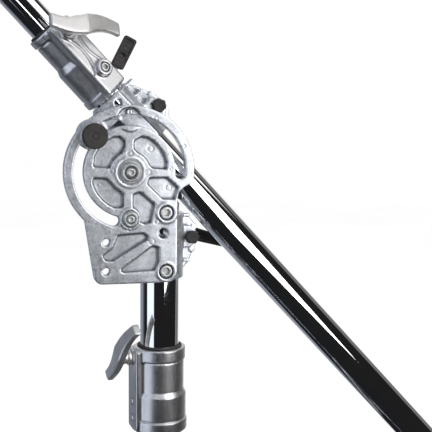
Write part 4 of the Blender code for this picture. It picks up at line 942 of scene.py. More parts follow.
# ---- repeated ribs ----------------------------------------------------------------------------
def rib_ring_tree():
    """Geometry nodes: one rounded rib repeated round a circle, standing along Z."""
    tree = bpy.data.node_groups.new("rib_ring", "GeometryNodeTree")
    face = tree.interface
    wanted = (("Count", "NodeSocketInt"), ("Radius", "NodeSocketFloat"), ("Width", "NodeSocketFloat"),
              ("Height", "NodeSocketFloat"), ("Material", "NodeSocketMaterial"))
    for word, kind in wanted:
        face.new_socket(word, in_out="INPUT", socket_type=kind)
    face.new_socket("Mesh", in_out="OUTPUT", socket_type="NodeSocketGeometry")
    made = {}
    for word, kind in (("in", "NodeGroupInput"), ("ring", "GeometryNodeMeshCircle"),
                       ("rib", "GeometryNodeMeshCylinder"), ("spread", "GeometryNodeInstanceOnPoints"),
                       ("real", "GeometryNodeRealizeInstances"), ("paint", "GeometryNodeSetMaterial"),
                       ("out", "NodeGroupOutput")):
        made[word] = tree.nodes.new(kind)
    made["rib"].inputs["Vertices"].default_value = 8
    links = (("in", "Count", "ring", "Vertices"), ("in", "Radius", "ring", "Radius"),
             ("in", "Width", "rib", "Radius"), ("in", "Height", "rib", "Depth"),
             ("ring", "Mesh", "spread", "Points"), ("rib", "Mesh", "spread", "Instance"),
             ("spread", "Instances", "real", "Geometry"), ("real", "Geometry", "paint", "Geometry"),
             ("in", "Material", "paint", "Material"), ("paint", "Geometry", "out", "Mesh"))
    for giver, socket, taker, into in links:
        tree.links.new(made[giver].outputs[socket], made[taker].inputs[into])
    return tree


def rib_ring_mesh(name, count, radius, width, height, material, place):
    """Plain mesh of a ring of ribs, with the node tree's result taken and the modifier removed."""
    tree = bpy.data.node_groups.get("rib_ring") or rib_ring_tree()
    holder = bpy.data.objects.new(name, bpy.data.meshes.new(name))
    bpy.context.scene.collection.objects.link(holder)
    ribs = holder.modifiers.new("Ribs", "NODES")
    ribs.node_group = tree
    values = {"Count": count, "Radius": radius * MM, "Width": width * MM, "Height": height * MM,
              "Material": material}
    for item in tree.interface.items_tree:
        if item.item_type == "SOCKET" and item.in_out == "INPUT":
            ribs[item.identifier] = values[item.name]
    graph = bpy.context.evaluated_depsgraph_get()
    mesh = bpy.data.meshes.new_from_object(holder.evaluated_get(graph))
    holder.modifiers.clear()
    bpy.data.objects.remove(holder, do_unlink=True)
    mesh.transform(place)
    mesh.shade_smooth()
    mesh.set_sharp_from_angle(angle=math.radians(50.0))
    mesh.attributes.new("bend", "FLOAT", "POINT")
    return mesh


# ---- operators --------------------------------------------------------------------------------
class STAND_OT_tubes(bpy.types.Operator):
    """Chrome column, riser and boom tubes with eased ends"""
    bl_idname = "stand.tubes"
    bl_label = "Chrome tubes"

    def execute(self, context):
        sides = context.scene.stand_tubes.sides
        reach = [box_along("base_column"), box_along("riser_tube")]
        runs = (("column_chrome_tube", COLUMN_R, COLUMN_BORE, reach[0], Matrix(), "base",
                 "base_column", "chrome"),
                ("riser_chrome_tube", RISER_R, RISER_BORE, reach[1], Matrix(), "head",
                 "riser_tube", "chrome"),
                ("boom_chrome_tube", BOOM_R, BOOM_BORE, (-600.0, BOOM_LEVELS[2] - GAP), BOOM, "boom_outer",
                 "boom_tube", "boom_chrome"),
                ("inner_boom_chrome_tube", INNER_R, INNER_BORE, (-150.0, 690.0), BOOM, "boom_inner",
                 "boom_inner_tube", "boom_chrome"))
        for name, outer, bore, (low, high), place, body, node, kind in runs:
            profile = [(bore, low), (outer, low), (outer, high), (bore, high)]
            mesh = spun_mesh(name, profile, place, sides, 0.5)
            place_piece(mesh, body, kind, node)
        return {"FINISHED"}


def box_along(node):
    low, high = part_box(node)
    return (low[2] / MM, high[2] / MM)


class STAND_OT_tilt_plate(bpy.types.Operator):
    """Ribbed tilt plate with its arc slot, pockets and counterbores"""
    bl_idname = "stand.tilt_plate"
    bl_label = "Tilt plate"

    def execute(self, context):
        look = context.scene.stand_castings
        mesh = cast_mesh("tilt_plate_cast", tilt_plate_field(look), (-69.0, -36.4, -116.2),
                         (69.0, -21.0, 68.8), PIVOT, look.skin / MM)
        place_piece(mesh, "head", "cast", "tilt_plate")
        return {"FINISHED"}


class STAND_OT_column_clamp(bpy.types.Operator):
    """Two ribbed castings that grip the riser, with their bolt and lever"""
    bl_idname = "stand.column_clamp"
    bl_label = "Column clamp"

    def execute(self, context):
        step = context.scene.stand_castings.skin / MM
        bolt = (TUBE_OFFSET + CLAMP_BOLT, COLUMN_BOLT_HEIGHT)
        mesh = cast_mesh("column_clamp_front_cast", column_clamp_front_field(), (-10.0, -27.0, -116.0),
                         (81.0, 1.0, -38.0), PIVOT, step)
        place_piece(mesh, "head", "cast", "column_clamp_front")
        outline = eased([(54.0, -113.0), (60.5, -113.0), (69.0, -100.5), (76.5, -83.0), (79.0, -74.0),
                         (78.5, -64.0), (75.0, -58.0), (71.0, -49.5), (54.0, -47.5)], 3.0, 5)
        field = rear_ear_field(RISER_R, 4.6, -114.0, -46.0, outline, bolt,
                               [(75.2, -62.5), (73.0, -86.0)])
        mesh = cast_mesh("column_clamp_rear_cast", field, (11.0, -1.0, -116.0), (81.5, 28.0, -44.0),
                         PIVOT, step)
        place_piece(mesh, "head", "cast", "column_clamp_rear")
        place = PIVOT @ shift(bolt[0], -11.0 - GAP, bolt[1]) @ FRONT
        mesh = hex_bolt_mesh("column_clamp_hex_bolt", 44.0, place)
        place_piece(mesh, "head", "oxide", "column_clamp_bolt")

        def lever(x, y, z):
            hub = blend_max(np.hypot(x, z) - 8.2, span(y, 12.5, 33.0), 0.9)
            width = 7.5 - np.clip(x / 74.0, 0.0, 1.0) * 2.5
            bar = capsule(x, z, (0.0, 0.0), (74.0, 0.0), 0.0) - width
            bar = blend_max(bar, span(y, 25.6, 32.2), 1.8)
            web = np.maximum(capsule(x, z, (17.0, 0.0), (66.0, 0.0), 2.0), y - 26.8)
            solid = blend_min(hub, less(bar, web, 0.8), 1.6)
            return less(solid, np.hypot(x, z) - 4.3, 0.6)

        place = PIVOT @ shift(bolt[0], 0.0, bolt[1]) @ spin(16.0, "Y")
        mesh = cast_mesh("clamp_lever_bar", lever, (-10.0, 11.0, -10.0), (81.0, 35.0, 10.0), place, step)
        place_piece(mesh, "clamp_lever", "oxide", "clamp_lever")
        return {"FINISHED"}


class STAND_OT_bracket(bpy.types.Operator):
    """Tilting bracket, its rear clamp half, bolt and nut"""
    bl_idname = "stand.bracket"
    bl_label = "Boom bracket"

    def execute(self, context):
        step = context.scene.stand_castings.skin / MM
        bolt = (TUBE_OFFSET + CLAMP_BOLT, BOOM_BOLT_HEIGHT)
        mesh = cast_mesh("boom_bracket_cast", bracket_field(), (-43.0, -24.4, -43.0), (81.0, 1.0, 71.0),
                         TILT, step)
        place_piece(mesh, "bracket", "cast", "boom_bracket")
        outline = eased([(54.0, 65.0), (59.5, 65.0), (66.0, 56.0), (75.5, 35.0), (79.5, 29.0),
                         (79.5, 20.0), (75.5, 12.0), (70.5, 1.0), (54.0, 1.0)], 3.0, 5)
        field = rear_ear_field(BOOM_R, 4.6, 2.0, 64.0, outline, bolt, [(74.5, 15.0), (73.0, 36.5)])
        mesh = cast_mesh("boom_clamp_rear_cast", field, (13.0, -1.0, -1.0), (82.0, 26.0, 67.0), TILT, step)
        place_piece(mesh, "bracket", "cast", "boom_clamp_rear")
        place = TILT @ shift(bolt[0], -11.0 - GAP, bolt[1]) @ FRONT
        mesh = hex_bolt_mesh("boom_clamp_hex_bolt", 26.0, place)
        place_piece(mesh, "bracket", "oxide", "boom_clamp_bolt")

        def nut(x, y, z):
            body = blend_max(hexagon(x, z, 13.0), span(y, 12.3, 18.5), 0.5)
            body = blend_max(body, (np.hypot(x, z) - 7.1) * 0.5 + (y - 18.2) * 0.86, 0.4)
            return less(body, np.hypot(x, z) - 4.3, 0.6)

        mesh = cast_mesh("boom_clamp_hex_nut", nut, (-8.6, 11.6, -8.6), (8.6, 19.6, 8.6),
                         TILT @ shift(bolt[0], 0.0, bolt[1]), 0.45)
        place_piece(mesh, "bracket", "steel", "boom_clamp_nut")
        return {"FINISHED"}


class STAND_OT_head_fasteners(bpy.types.Operator):
    """Pivot bolt and nut, stop stud and nut, and the two plate bolts"""
    bl_idname = "stand.head_fasteners"
    bl_label = "Head fasteners"

    def execute(self, context):
        seat = PIVOT @ shift(0.0, PLATE_FRONT + 3.0 - GAP, 0.0) @ FRONT
        washer = [(6.6, 0.0), (11.8, 0.0), (11.8, 1.0), (11.2, 1.5), (9.4, 1.5), (6.6, 1.5)]
        mesh = spun_mesh("pivot_spring_washer", washer, seat, 64, 0.25)
        place_piece(mesh, "head", "steel", "pivot_washer")
        place = PIVOT @ shift(0.0, PLATE_FRONT + 3.0 - 1.5 - 2.0 * GAP, 0.0) @ FRONT
        mesh = ring_nut_mesh("pivot_ring_nut", 6.6, 9.2, 5.6, place)
        place_piece(mesh, "head", "steel", "pivot_nut")

        def pivot(x, y, z):
            wide = np.hypot(x, y)
            shank = blend_max(wide - 6.0, span(z, -17.0, 1.0), 0.6)
            tip = blend_max(wide - 4.9, span(z, 0.0, 6.7), 2.4)
            tip = less(tip, blend_max(hexagon(x, y, 4.6), 4.2 - z, 0.4), 0.4)
            head = blend_max(hexagon(x, y, 18.0), span(z, -23.0, -16.2), 0.8)
            return np.minimum(blend_min(shank, tip, 0.8), head)

        place = PIVOT @ shift(0.0, PLATE_FRONT, 0.0) @ FRONT
        mesh = cast_mesh("pivot_bolt_turned", pivot, (-11.4, -11.4, -24.0), (11.4, 11.4, 7.8), place, 0.5)
        place_piece(mesh, "bracket", "steel", "pivot_bolt")
        spot = shift(LOCK_NUT[0], PLATE_FRONT, LOCK_NUT[1])

        def stop(x, y, z):
            wide = np.hypot(x, y)
            shank = blend_max(wide - 4.0, span(z, -22.0, 4.9), 1.4)
            return less(shank, blend_max(hexagon(x, y, 3.8), 3.0 - z, 0.3), 0.4)

        mesh = cast_mesh("stop_stud_turned", stop, (-5.6, -5.6, -23.2), (5.6, 5.6, 6.2),
                         PIVOT @ spot @ FRONT, 0.4)
        place_piece(mesh, "head", "steel", "stop_stud")
        place = PIVOT @ spot @ shift(0.0, 2.0 - GAP, 0.0) @ FRONT
        mesh = ring_nut_mesh("stop_ring_nut", 4.6, 7.8, 5.4, place)
        place_piece(mesh, "head", "steel", "stop_nut")
        length = -PLATE_FRONT - 5.0 - RISER_R - 2.0 * GAP
        for word, center in zip(("upper", "lower"), PLATE_BOLTS):
            place = PIVOT @ shift(center[0], PLATE_FRONT + 5.0 - GAP, center[1]) @ FRONT
            mesh = socket_bolt_mesh(f"plate_socket_bolt_{word}", length, 6.5, 4.4, 4.0, place)
            place_piece(mesh, "head", "steel", f"plate_bolt_{word}")
        return {"FINISHED"}


class STAND_OT_lock_knob(bpy.types.Operator):
    """Round black knob with a ribbed rim, its washer and its stud"""
    bl_idname = "stand.lock_knob"
    bl_label = "Lock knob"

    def execute(self, context):
        spot = knob_spot()
        place = TILT @ shift(spot[0], PLATE_FRONT, spot[1]) @ FRONT
        profile = [(0.0, 7.9), (4.3, 7.9), (4.3, 2.7), (9.0, 2.7), (9.0, 3.4), (11.9, 3.7), (12.5, 5.2),
                   (12.5, 10.2), (11.4, 11.8), (5.0, 11.95), (2.6, 11.5), (2.2, 11.8), (0.0, 11.9)]
        knob = spun_mesh("knob_body", profile, place, 96, 0.8, closed=False)
        grips = context.scene.stand_tubes.grips
        ribs = rib_ring_mesh("knob_ribs", grips, 12.2, 0.45, 4.6, finish("plastic"), place @ shift(z=7.7))
        mesh = joined("tilt_lock_knob", [knob, ribs])
        place_piece(mesh, "tilt_knob", "plastic", "tilt_knob")
        washer = [(4.3, GAP), (11.9, GAP), (12.7, 1.1), (11.9, 2.2), (4.3, 2.2)]
        mesh = spun_mesh("knob_dished_washer", washer, place, 72, 0.3)
        place_piece(mesh, "bracket", "steel", "knob_washer")
        shank = [(0.0, -26.0), (6.2, -26.0), (7.0, -25.2), (7.0, -21.0), (4.0, -21.0), (4.0, 7.0), (3.4, 7.6),
                 (0.0, 7.6)]
        mesh = spun_mesh("knob_turned_stud", shank, place, 32, 0.3, closed=False)
        place_piece(mesh, "bracket", "steel", "knob_stud")
        return {"FINISHED"}


class STAND_OT_collars(bpy.types.Operator):
    """Stepped cast collars on the column and the boom, with their bushes and screw"""
    bl_idname = "stand.collars"
    bl_label = "Collars"

    def execute(self, context):
        step = context.scene.stand_castings.skin / MM
        field = collar_field(COLUMN_LEVELS, COLUMN_RADII, COLUMN_R + GAP, RISER_R + 2.4, 31.0, 13.0,
                             (-88.0, -1.0), -9.5, 2.0, None, (-58.0, -76.0))
        mesh = cast_mesh("column_collar_cast", field, (-32.0, -32.0, -91.5), (35.0, 32.0, 1.5), COLLAR, step)
        place_piece(mesh, "base", "collar", "column_collar")
        field = collar_field(BOOM_LEVELS, BOOM_RADII, BOOM_R + GAP, INNER_R + 2.2, 28.0, 13.5,
                             (69.0, 154.2), 142.0, 10.0, 92.9, ())
        mesh = cast_mesh("boom_collar_cast", field, (-25.5, -25.5, 66.0), (40.0, 25.5, 157.2),
                         BOOM_PAD_FRAME, step)
        place_piece(mesh, "boom_outer", "collar", "boom_collar")
        bushes = (("column_bush_moulded", RISER_R, 2.4, COLUMN_LEVELS, COLLAR, "base", "column_collar_bush"),
                  ("boom_bush_moulded", INNER_R, 2.2, BOOM_LEVELS, BOOM_PAD_FRAME, "boom_outer",
                   "boom_collar_bush"))
        for name, tube_r, wall, levels, place, body, node in bushes:
            bore, seat, low, top = tube_r + 0.4, tube_r + wall - GAP, levels[2] + GAP, levels[5]
            profile = [(bore, low), (seat, low), (seat, top + GAP), (tube_r + wall + 0.6, top + GAP),
                       (tube_r + wall + 0.6, top + GAP + 1.0), (bore, top + GAP + 1.0)]
            mesh = spun_mesh(name, profile, place, 96, 0.35)
            place_piece(mesh, body, "plastic", node)
        place = BOOM_PAD_FRAME @ shift(28.0 + 3.0 + GAP, 0.0, 92.9) @ spin(90.0, "Y")
        mesh = socket_bolt_mesh("boom_collar_socket_screw", 11.0, 4.5, 4.6, 3.6, place)
        place_piece(mesh, "boom_outer", "steel", "boom_collar_screw")
        cap = [(10.0, -603.0), (17.5, -603.0), (17.5, -600.3), (15.2, -600.3), (15.2, -584.0), (10.0, -584.0)]
        mesh = spun_mesh("boom_end_cap_moulded", cap, BOOM, 96, 0.6)
        place_piece(mesh, "boom_outer", "plastic", "boom_end_cap")
        return {"FINISHED"}


class STAND_OT_t_handles(bpy.types.Operator):
    """Three cast T-handles on their threaded studs"""
    bl_idname = "stand.t_handles"
    bl_label = "T-handles"

    def execute(self, context):
        field = t_handle_field(context.scene.stand_handles)
        leg = shift(z=LEG_HEIGHT + 17.0) @ spin(260.0, "Z") @ spin(90.0, "Y")
        column = COLLAR @ shift(z=-9.5) @ spin(90.0, "Y")
        boom = BOOM_PAD_FRAME @ shift(z=142.0) @ spin(90.0, "Y")
        spots = (("boom", boom, 47.0, 38.0, 38.0 - INNER_R - 1.0, "boom_handle", "boom_handle",
                  "boom_handle_stud"),
                 ("column", column, 140.3, 33.0, 33.0 - RISER_R - 1.0, "column_handle", "column_handle",
                  "column_handle_stud"),
                 ("leg", leg, 25.0, LEG_SEAT, LEG_SEAT - COLUMN_R - 1.0, "leg_handle", "leg_collar_handle",
                  "leg_handle_stud"))
        for word, stem, turn, seat, depth, body, node, stud in spots:
            place = stem @ spin(turn, "Z") @ shift(z=seat + GAP)
            mesh = cast_mesh(f"{word}_t_handle", field, (-32.5, -13.5, -1.2), (50.5, 13.5, 24.0), place, 0.62)
            place_piece(mesh, body, "handle", node)
            mesh = stud_mesh(f"{word}_threaded_stud", depth, stem @ shift(z=seat))
            place_piece(mesh, body, "steel", stud)
        return {"FINISHED"}


class STAND_OT_safety_tab(bpy.types.Operator):
    """Black safety tab beside the boom collar, with its steel lug"""
    bl_idname = "stand.safety_tab"
    bl_label = "Safety tab"

    def execute(self, context):
        base = BOOM_RADII[0] + 4.2

        def tab(x, y, z):
            body = blend_max(blend_max(span(x, 0.0, 34.0), span(z, -7.0, 7.0), 3.0), span(y, -2.0, 2.0), 1.0)
            panel = blend_max(blend_max(span(x, 8.0, 31.0), span(z, -4.6, 4.6), 1.6), y + 1.2, 0.5)
            body = less(body, panel, 0.4)
            mark = np.abs(np.hypot(x - 22.5, z) - 2.6) - 0.35
            body = blend_min(body, blend_max(mark, span(y, -1.5, 0.0), 0.2), 0.4)
            root = np.maximum(np.abs(z) - 5.6, span(y, -2.3, 0.0))
            body = blend_min(body, blend_max(span(x, 1.0, 5.0), root, 0.5), 0.6)
            window = np.maximum(blend_max(span(x, 13.0, 16.0), np.abs(z) - 2.4, 0.4), y - 0.8)
            return less(body, window, 0.4)

        place = BOOM @ shift(base, 6.0, 80.0) @ spin(-20.0, "Y")
        mesh = cast_mesh("safety_tab_moulded", tab, (-1.2, -3.4, -8.2), (35.2, 3.2, 8.2), place, 0.4)
        place_piece(mesh, "safety_tab", "plastic", "safety_tab")

        def lug(x, y, z):
            body = box(x, y, z, (BOOM_RADII[0] - 3.0, 8.3, 77.0), (base + 2.8, 11.5, 87.0), 1.6)
            return less(body, np.hypot(x, y) - BOOM_RADII[1] - GAP, 0.5)

        mesh = cast_mesh("tab_lug_bent", lug, (19.0, 7.2, 75.6), (31.8, 12.6, 88.4), BOOM, 0.5)
        place_piece(mesh, "boom_outer", "steel", "tab_lug")
        return {"FINISHED"}


class STAND_OT_base(bpy.types.Operator):
    """Leg carrier and brace hub castings with their pins and bush"""
    bl_idname = "stand.base"
    bl_label = "Tripod castings"

    def execute(self, context):
        bush_r = COLUMN_R + 2.0
        turns = [math.radians(h) for h in HEADINGS]

        def carrier(x, y, z):
            wide = np.hypot(x, y)
            solid = blend_max(wide - 33.0, span(z, -24.0, 14.0), 3.0)
            solid = blend_min(solid, blend_max(wide - 30.6, span(z, 0.0, 36.0), 3.0), 1.5)
            solid = blend_min(solid, np.hypot(wide - 32.6, z + 17.0) - 1.4, 1.2)
            for t in turns:
                u = x * math.cos(t) + y * math.sin(t)
                v = np.abs(y * math.cos(t) - x * math.sin(t))
                ear = np.minimum(capsule(u, z, (34.0, -4.0), (HINGE_R, 0.0), 9.0),
                                 np.hypot(u - 32.0, z + 4.0) - 15.0)
                ear = blend_max(ear, span(v, 13.5, 18.5), 1.2)
                solid = blend_min(solid, ear, 2.5)
                solid = less(solid, np.maximum(np.hypot(u - HINGE_R, z) - 4.3, -u), 0.6)
            t = math.radians(260.0)
            u = x * math.cos(t) + y * math.sin(t)
            across = np.hypot(y * math.cos(t) - x * math.sin(t), z - 17.0)
            solid = blend_min(solid, blend_max(across - 10.0, span(u, 20.0, LEG_SEAT), 1.4), 3.0)
            solid = less(solid, np.maximum(across - 4.3, -u), 0.6)
            bore = np.where(z < 30.0, wide - bush_r - GAP, wide - COLUMN_R - 0.4)
            return less(solid, bore, 0.5)

        place = shift(z=LEG_HEIGHT)
        mesh = cast_mesh("leg_carrier_cast", carrier, (-62.0, -62.0, -26.0), (62.0, 62.0, 38.0), place, 1.05)
        place_piece(mesh, "leg_carrier", "collar", "leg_collar")

        def hub(x, y, z):
            wide = np.hypot(x, y)
            solid = blend_max(wide - 34.0, span(z, 4.0, 46.0), 4.0)
            solid = blend_min(solid, blend_max(wide - 31.5, span(z, 20.0, 54.0), 3.0), 1.5)
            for t in turns:
                u = x * math.cos(t) + y * math.sin(t)
                v = np.abs(y * math.cos(t) - x * math.sin(t))
                ear = np.minimum(capsule(u, z, (34.0, BRACE_HINGE), (HINGE_R, BRACE_HINGE), 9.0),
                                 np.hypot(u - 34.0, z - BRACE_HINGE) - 12.0)
                solid = blend_min(solid, blend_max(ear, v - 13.9, 1.4), 3.0)
                core = blend_max(np.hypot(u - 40.0, z - BRACE_HINGE) - 5.5, 11.4 - v, 1.0)
                solid = less(solid, core, 0.8)
                ring = blend_max(np.hypot(u - HINGE_R, z - BRACE_HINGE) - 7.0, v - 13.9, 0.6)
                solid = blend_min(solid, ring, 0.6)
                solid = less(solid, np.maximum(np.hypot(u - HINGE_R, z - BRACE_HINGE) - 4.3, -u), 0.6)
            return less(solid, wide - COLUMN_R - GAP, 0.5)

        mesh = cast_mesh("brace_hub_cast", hub, (-61.0, -61.0, 2.0), (61.0, 61.0, 56.0), Matrix(), 1.05)
        place_piece(mesh, "base", "collar", "brace_hub")
        bush = [(COLUMN_R + 0.4, -23.5), (bush_r, -23.5), (bush_r, 29.6), (COLUMN_R + 0.4, 29.6)]
        mesh = spun_mesh("leg_bush_moulded", bush, place, 72, 0.4)
        place_piece(mesh, "leg_carrier", "plastic", "leg_collar_bush")
        for number, heading in enumerate(HEADINGS, start=1):
            upper = place @ spin(heading, "Z") @ shift(HINGE_R) @ FRONT
            lower = spin(heading, "Z") @ shift(HINGE_R, 0.0, BRACE_HINGE) @ FRONT
            mesh = pin_mesh(f"leg_rivet_{number}", upper)
            place_piece(mesh, "leg_carrier", "steel", f"leg_pin_{number}")
            mesh = pin_mesh(f"brace_rivet_{number}", lower)
            place_piece(mesh, "base", "steel", f"brace_pin_{number}")
        plug = [(0.0, 0.0), (21.2, 0.0), (21.2, 26.0), (17.0, 26.0), (15.0, 9.0), (0.0, 9.0)]
        mesh = spun_mesh("column_foot_plug_moulded", plug, Matrix(), 72, 1.2, closed=False)
        place_piece(mesh, "base", "plastic", "column_foot_plug")
        return {"FINISHED"}


class STAND_OT_legs(bpy.types.Operator):
    """Three chrome legs with ribbed rubber feet and their pairs of brace bars"""
    bl_idname = "stand.legs"
    bl_label = "Legs and braces"

    def execute(self, context):
        look = context.scene.stand_tubes
        reach = LEG_LENGTH - 4.0
        low = LEG_R + 2.0

        def brace(x, y, z):
            bar = capsule(x, z, (0.0, 0.0), (0.0, LINK), 8.8)
            solid = blend_max(bar, span(np.abs(y), low, low + 4.0), 1.0)
            bead = capsule(x, z, (0.0, 26.0), (0.0, LINK - 24.0), 2.6)
            solid = less(solid, np.maximum(bead, low + 3.3 - np.abs(y)), 0.8)
            solid = less(solid, np.hypot(x, z) - 4.3, 0.6)
            tie = blend_max(np.hypot(x, z - 62.0) - 4.5, np.abs(y) - low - 1.0, 0.6)
            solid = blend_min(solid, tie, 1.5)
            rivet = blend_max(np.hypot(x, z - LINK) - 6.4, span(np.abs(y), low + 3.0, low + 6.4), 1.4)
            return blend_min(solid, rivet, 0.6)

        for number, heading in enumerate(HEADINGS, start=1):
            place = shift(z=LEG_HEIGHT) @ spin(heading, "Z") @ shift(HINGE_R) @ spin(-SPREAD, "Y")
            tube = [(LEG_BORE, -reach), (LEG_R, -reach), (LEG_R, 10.0), (LEG_BORE, 10.0)]
            mesh = spun_mesh(f"leg_chrome_tube_{number}", tube, place, 64, 0.5)
            place_piece(mesh, f"leg_{number}", "chrome", f"leg_tube_{number}")
            sole = LEG_R + 4.0
            foot = [(0.0, -LEG_LENGTH), (sole - 4.0, -LEG_LENGTH), (sole - 0.5, -LEG_LENGTH + 5.0),
                    (sole - 0.5, -LEG_LENGTH + 27.0), (sole - 1.6, -LEG_LENGTH + 28.5),
                    (sole - 1.0, -LEG_LENGTH + 30.0), (sole - 1.0, -LEG_LENGTH + 34.0),
                    (LEG_R + GAP, -LEG_LENGTH + 34.0), (LEG_R + GAP, -reach - GAP), (0.0, -reach - GAP)]
            body = spun_mesh("foot_body", foot, place, 64, 0.8, closed=False)
            ribs = rib_ring_mesh("foot_ribs", look.treads, sole - 0.7, 0.7, 18.0, finish("rubber"),
                                 place @ shift(z=-LEG_LENGTH + 16.0))
            mesh = joined(f"leg_rubber_foot_{number}", [body, ribs])
            place_piece(mesh, f"leg_{number}", "rubber", f"leg_foot_{number}")
            place = spin(heading, "Z") @ shift(HINGE_R, 0.0, BRACE_HINGE) @ spin(SPREAD, "Y")
            mesh = cast_mesh(f"brace_bars_{number}", brace, (-10.6, -22.2, -10.6), (10.6, 22.2, LINK + 10.6),
                             place, 0.95)
            place_piece(mesh, f"brace_{number}", "brace", f"brace_{number}")
        return {"FINISHED"}


class STAND_OT_spigot(bpy.types.Operator):
    """Turned steel spigot with a retaining groove, and finishes for the plugs inside the tubes"""
    bl_idname = "stand.spigot"
    bl_label = "Spigot and plugs"

    def execute(self, context):
        end = 690.0
        steps = ((0.0, -30.0), (12.9, -30.0), (12.9, GAP), (15.0, GAP), (15.0, 8.0), (10.0, 12.0),
                 (8.0, 12.0), (8.0, 42.0), (6.2, 44.0), (6.2, 52.0), (8.0, 54.0), (8.0, 81.0),
                 (7.0, 82.0), (0.0, 82.0))
        profile = [(radius, end + past) for radius, past in steps]
        mesh = spun_mesh("boom_turned_spigot", profile, BOOM, 64, 0.5, closed=False)
        place_piece(mesh, "boom_inner", "steel", "boom_spigot")
        for node in ("riser_guide_plug", "riser_top_plug", "inner_boom_plug"):
            mesh = NODES[node].data
            mesh.materials.clear()
            mesh.materials.append(finish("plastic"))
        return {"FINISHED"}


class STAND_OT_stage(bpy.types.Operator):
    """Pale floor, soft lights, reflection panels and the camera"""
    bl_idname = "stand.stage"
    bl_label = "Stage and camera"

    def execute(self, context):
        scene = context.scene
        look = scene.stand_stage
        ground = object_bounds()[0][2]
        mesh = bpy.data.meshes.new("studio_floor")
        plane = bmesh.new()
        bmesh.ops.create_grid(plane, x_segments=8, y_segments=8, size=40.0)
        bmesh.ops.translate(plane, verts=plane.verts, vec=(0.0, 0.0, ground - 0.0004))
        plane.to_mesh(mesh)
        plane.free()
        floor = bpy.data.objects.new("studio_floor", mesh)
        scene.collection.objects.link(floor)
        material = bpy.data.materials.new("pale_floor")
        recipe = Recipe(material)
        clouds = recipe.noise(1.2, 2.0)
        tint = recipe.mix(recipe.fade(clouds, 0.4, 0.6, 0.0, 1.0), tuple(c * 0.985 for c in look.floor),
                          tuple(look.floor))
        recipe.surface(Base_Color=tint, Roughness=0.9)
        mesh.materials.append(material)
        floor.visible_glossy = False
        floor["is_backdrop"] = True

        world = bpy.data.worlds.new("white_studio")
        scene.world = world
        recipe = Recipe(world)
        sky = recipe.node("ShaderNodeBackground", {}, {"Color": (1.0, 1.0, 1.0, 1.0), "Strength": 1.04})
        recipe.node_out(sky, "ShaderNodeOutputWorld")
        scene.collection.objects.link(reflection_dome(look))
        for name, middle, width, height, turn in REFLECTION_CARDS:
            scene.collection.objects.link(reflection_card(name, middle, width, height, turn, look))
        for name, spot, aim, size, spread, power in (
                ("soft_key", (1.25, -1.05, 2.15), (0.0, 0.0, 1.15), 1.1, 180.0, look.key),
                ("head_light", (0.62, -0.74, 1.52), (0.10, -0.03, 1.17), 0.22, 26.0, look.key * 0.03),
                ("soft_top", (-0.4, -0.2, 3.3), (0.0, 0.0, 1.0), 2.2, 180.0, look.key * 1.5),
                ("soft_side", (-2.2, 0.6, 1.5), (0.0, 0.0, 1.1), 1.4, 180.0, look.key * 0.6)):
            lamp = bpy.data.lights.new(name, "AREA")
            lamp.spread = math.radians(spread)
            lamp.energy = power
            lamp.size = size
            light = bpy.data.objects.new(name, lamp)
            light.location = spot
            light.rotation_euler = (Vector(aim) - Vector(spot)).to_track_quat("-Z", "Y").to_euler()
            light.visible_camera = False
            light.visible_glossy = False
            scene.collection.objects.link(light)
        scene.view_settings.view_transform = "Standard"
        scene.collection.objects.link(stage_camera())
        scene.camera = bpy.data.objects["stage_camera"]
        return {"FINISHED"}


def reflection_card(name, middle, width, height, turn, look):
    """White card in front of the head that only reflections see."""
    mesh = bpy.data.meshes.new(name)
    corners = [(-width / 2, 0, -height / 2), (width / 2, 0, -height / 2),
               (width / 2, 0, height / 2), (-width / 2, 0, height / 2)]
    mesh.from_pydata(corners, [], [(0, 1, 2, 3)])
    material = bpy.data.materials.new(name)
    recipe = Recipe(material)
    white = {"Color": (1.0, 1.0, 1.0, 1.0), "Strength": look.panel * CARD_GAIN}
    recipe.node_out(recipe.node("ShaderNodeEmission", {}, white))
    mesh.materials.append(material)
    card = bpy.data.objects.new(name, mesh)
    card.matrix_world = Matrix.Translation(middle) @ spin(turn, "Y")
    card.visible_camera = False
    card.visible_diffuse = False
    card.visible_shadow = False
    card.visible_transmission = False
    card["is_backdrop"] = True
    return card


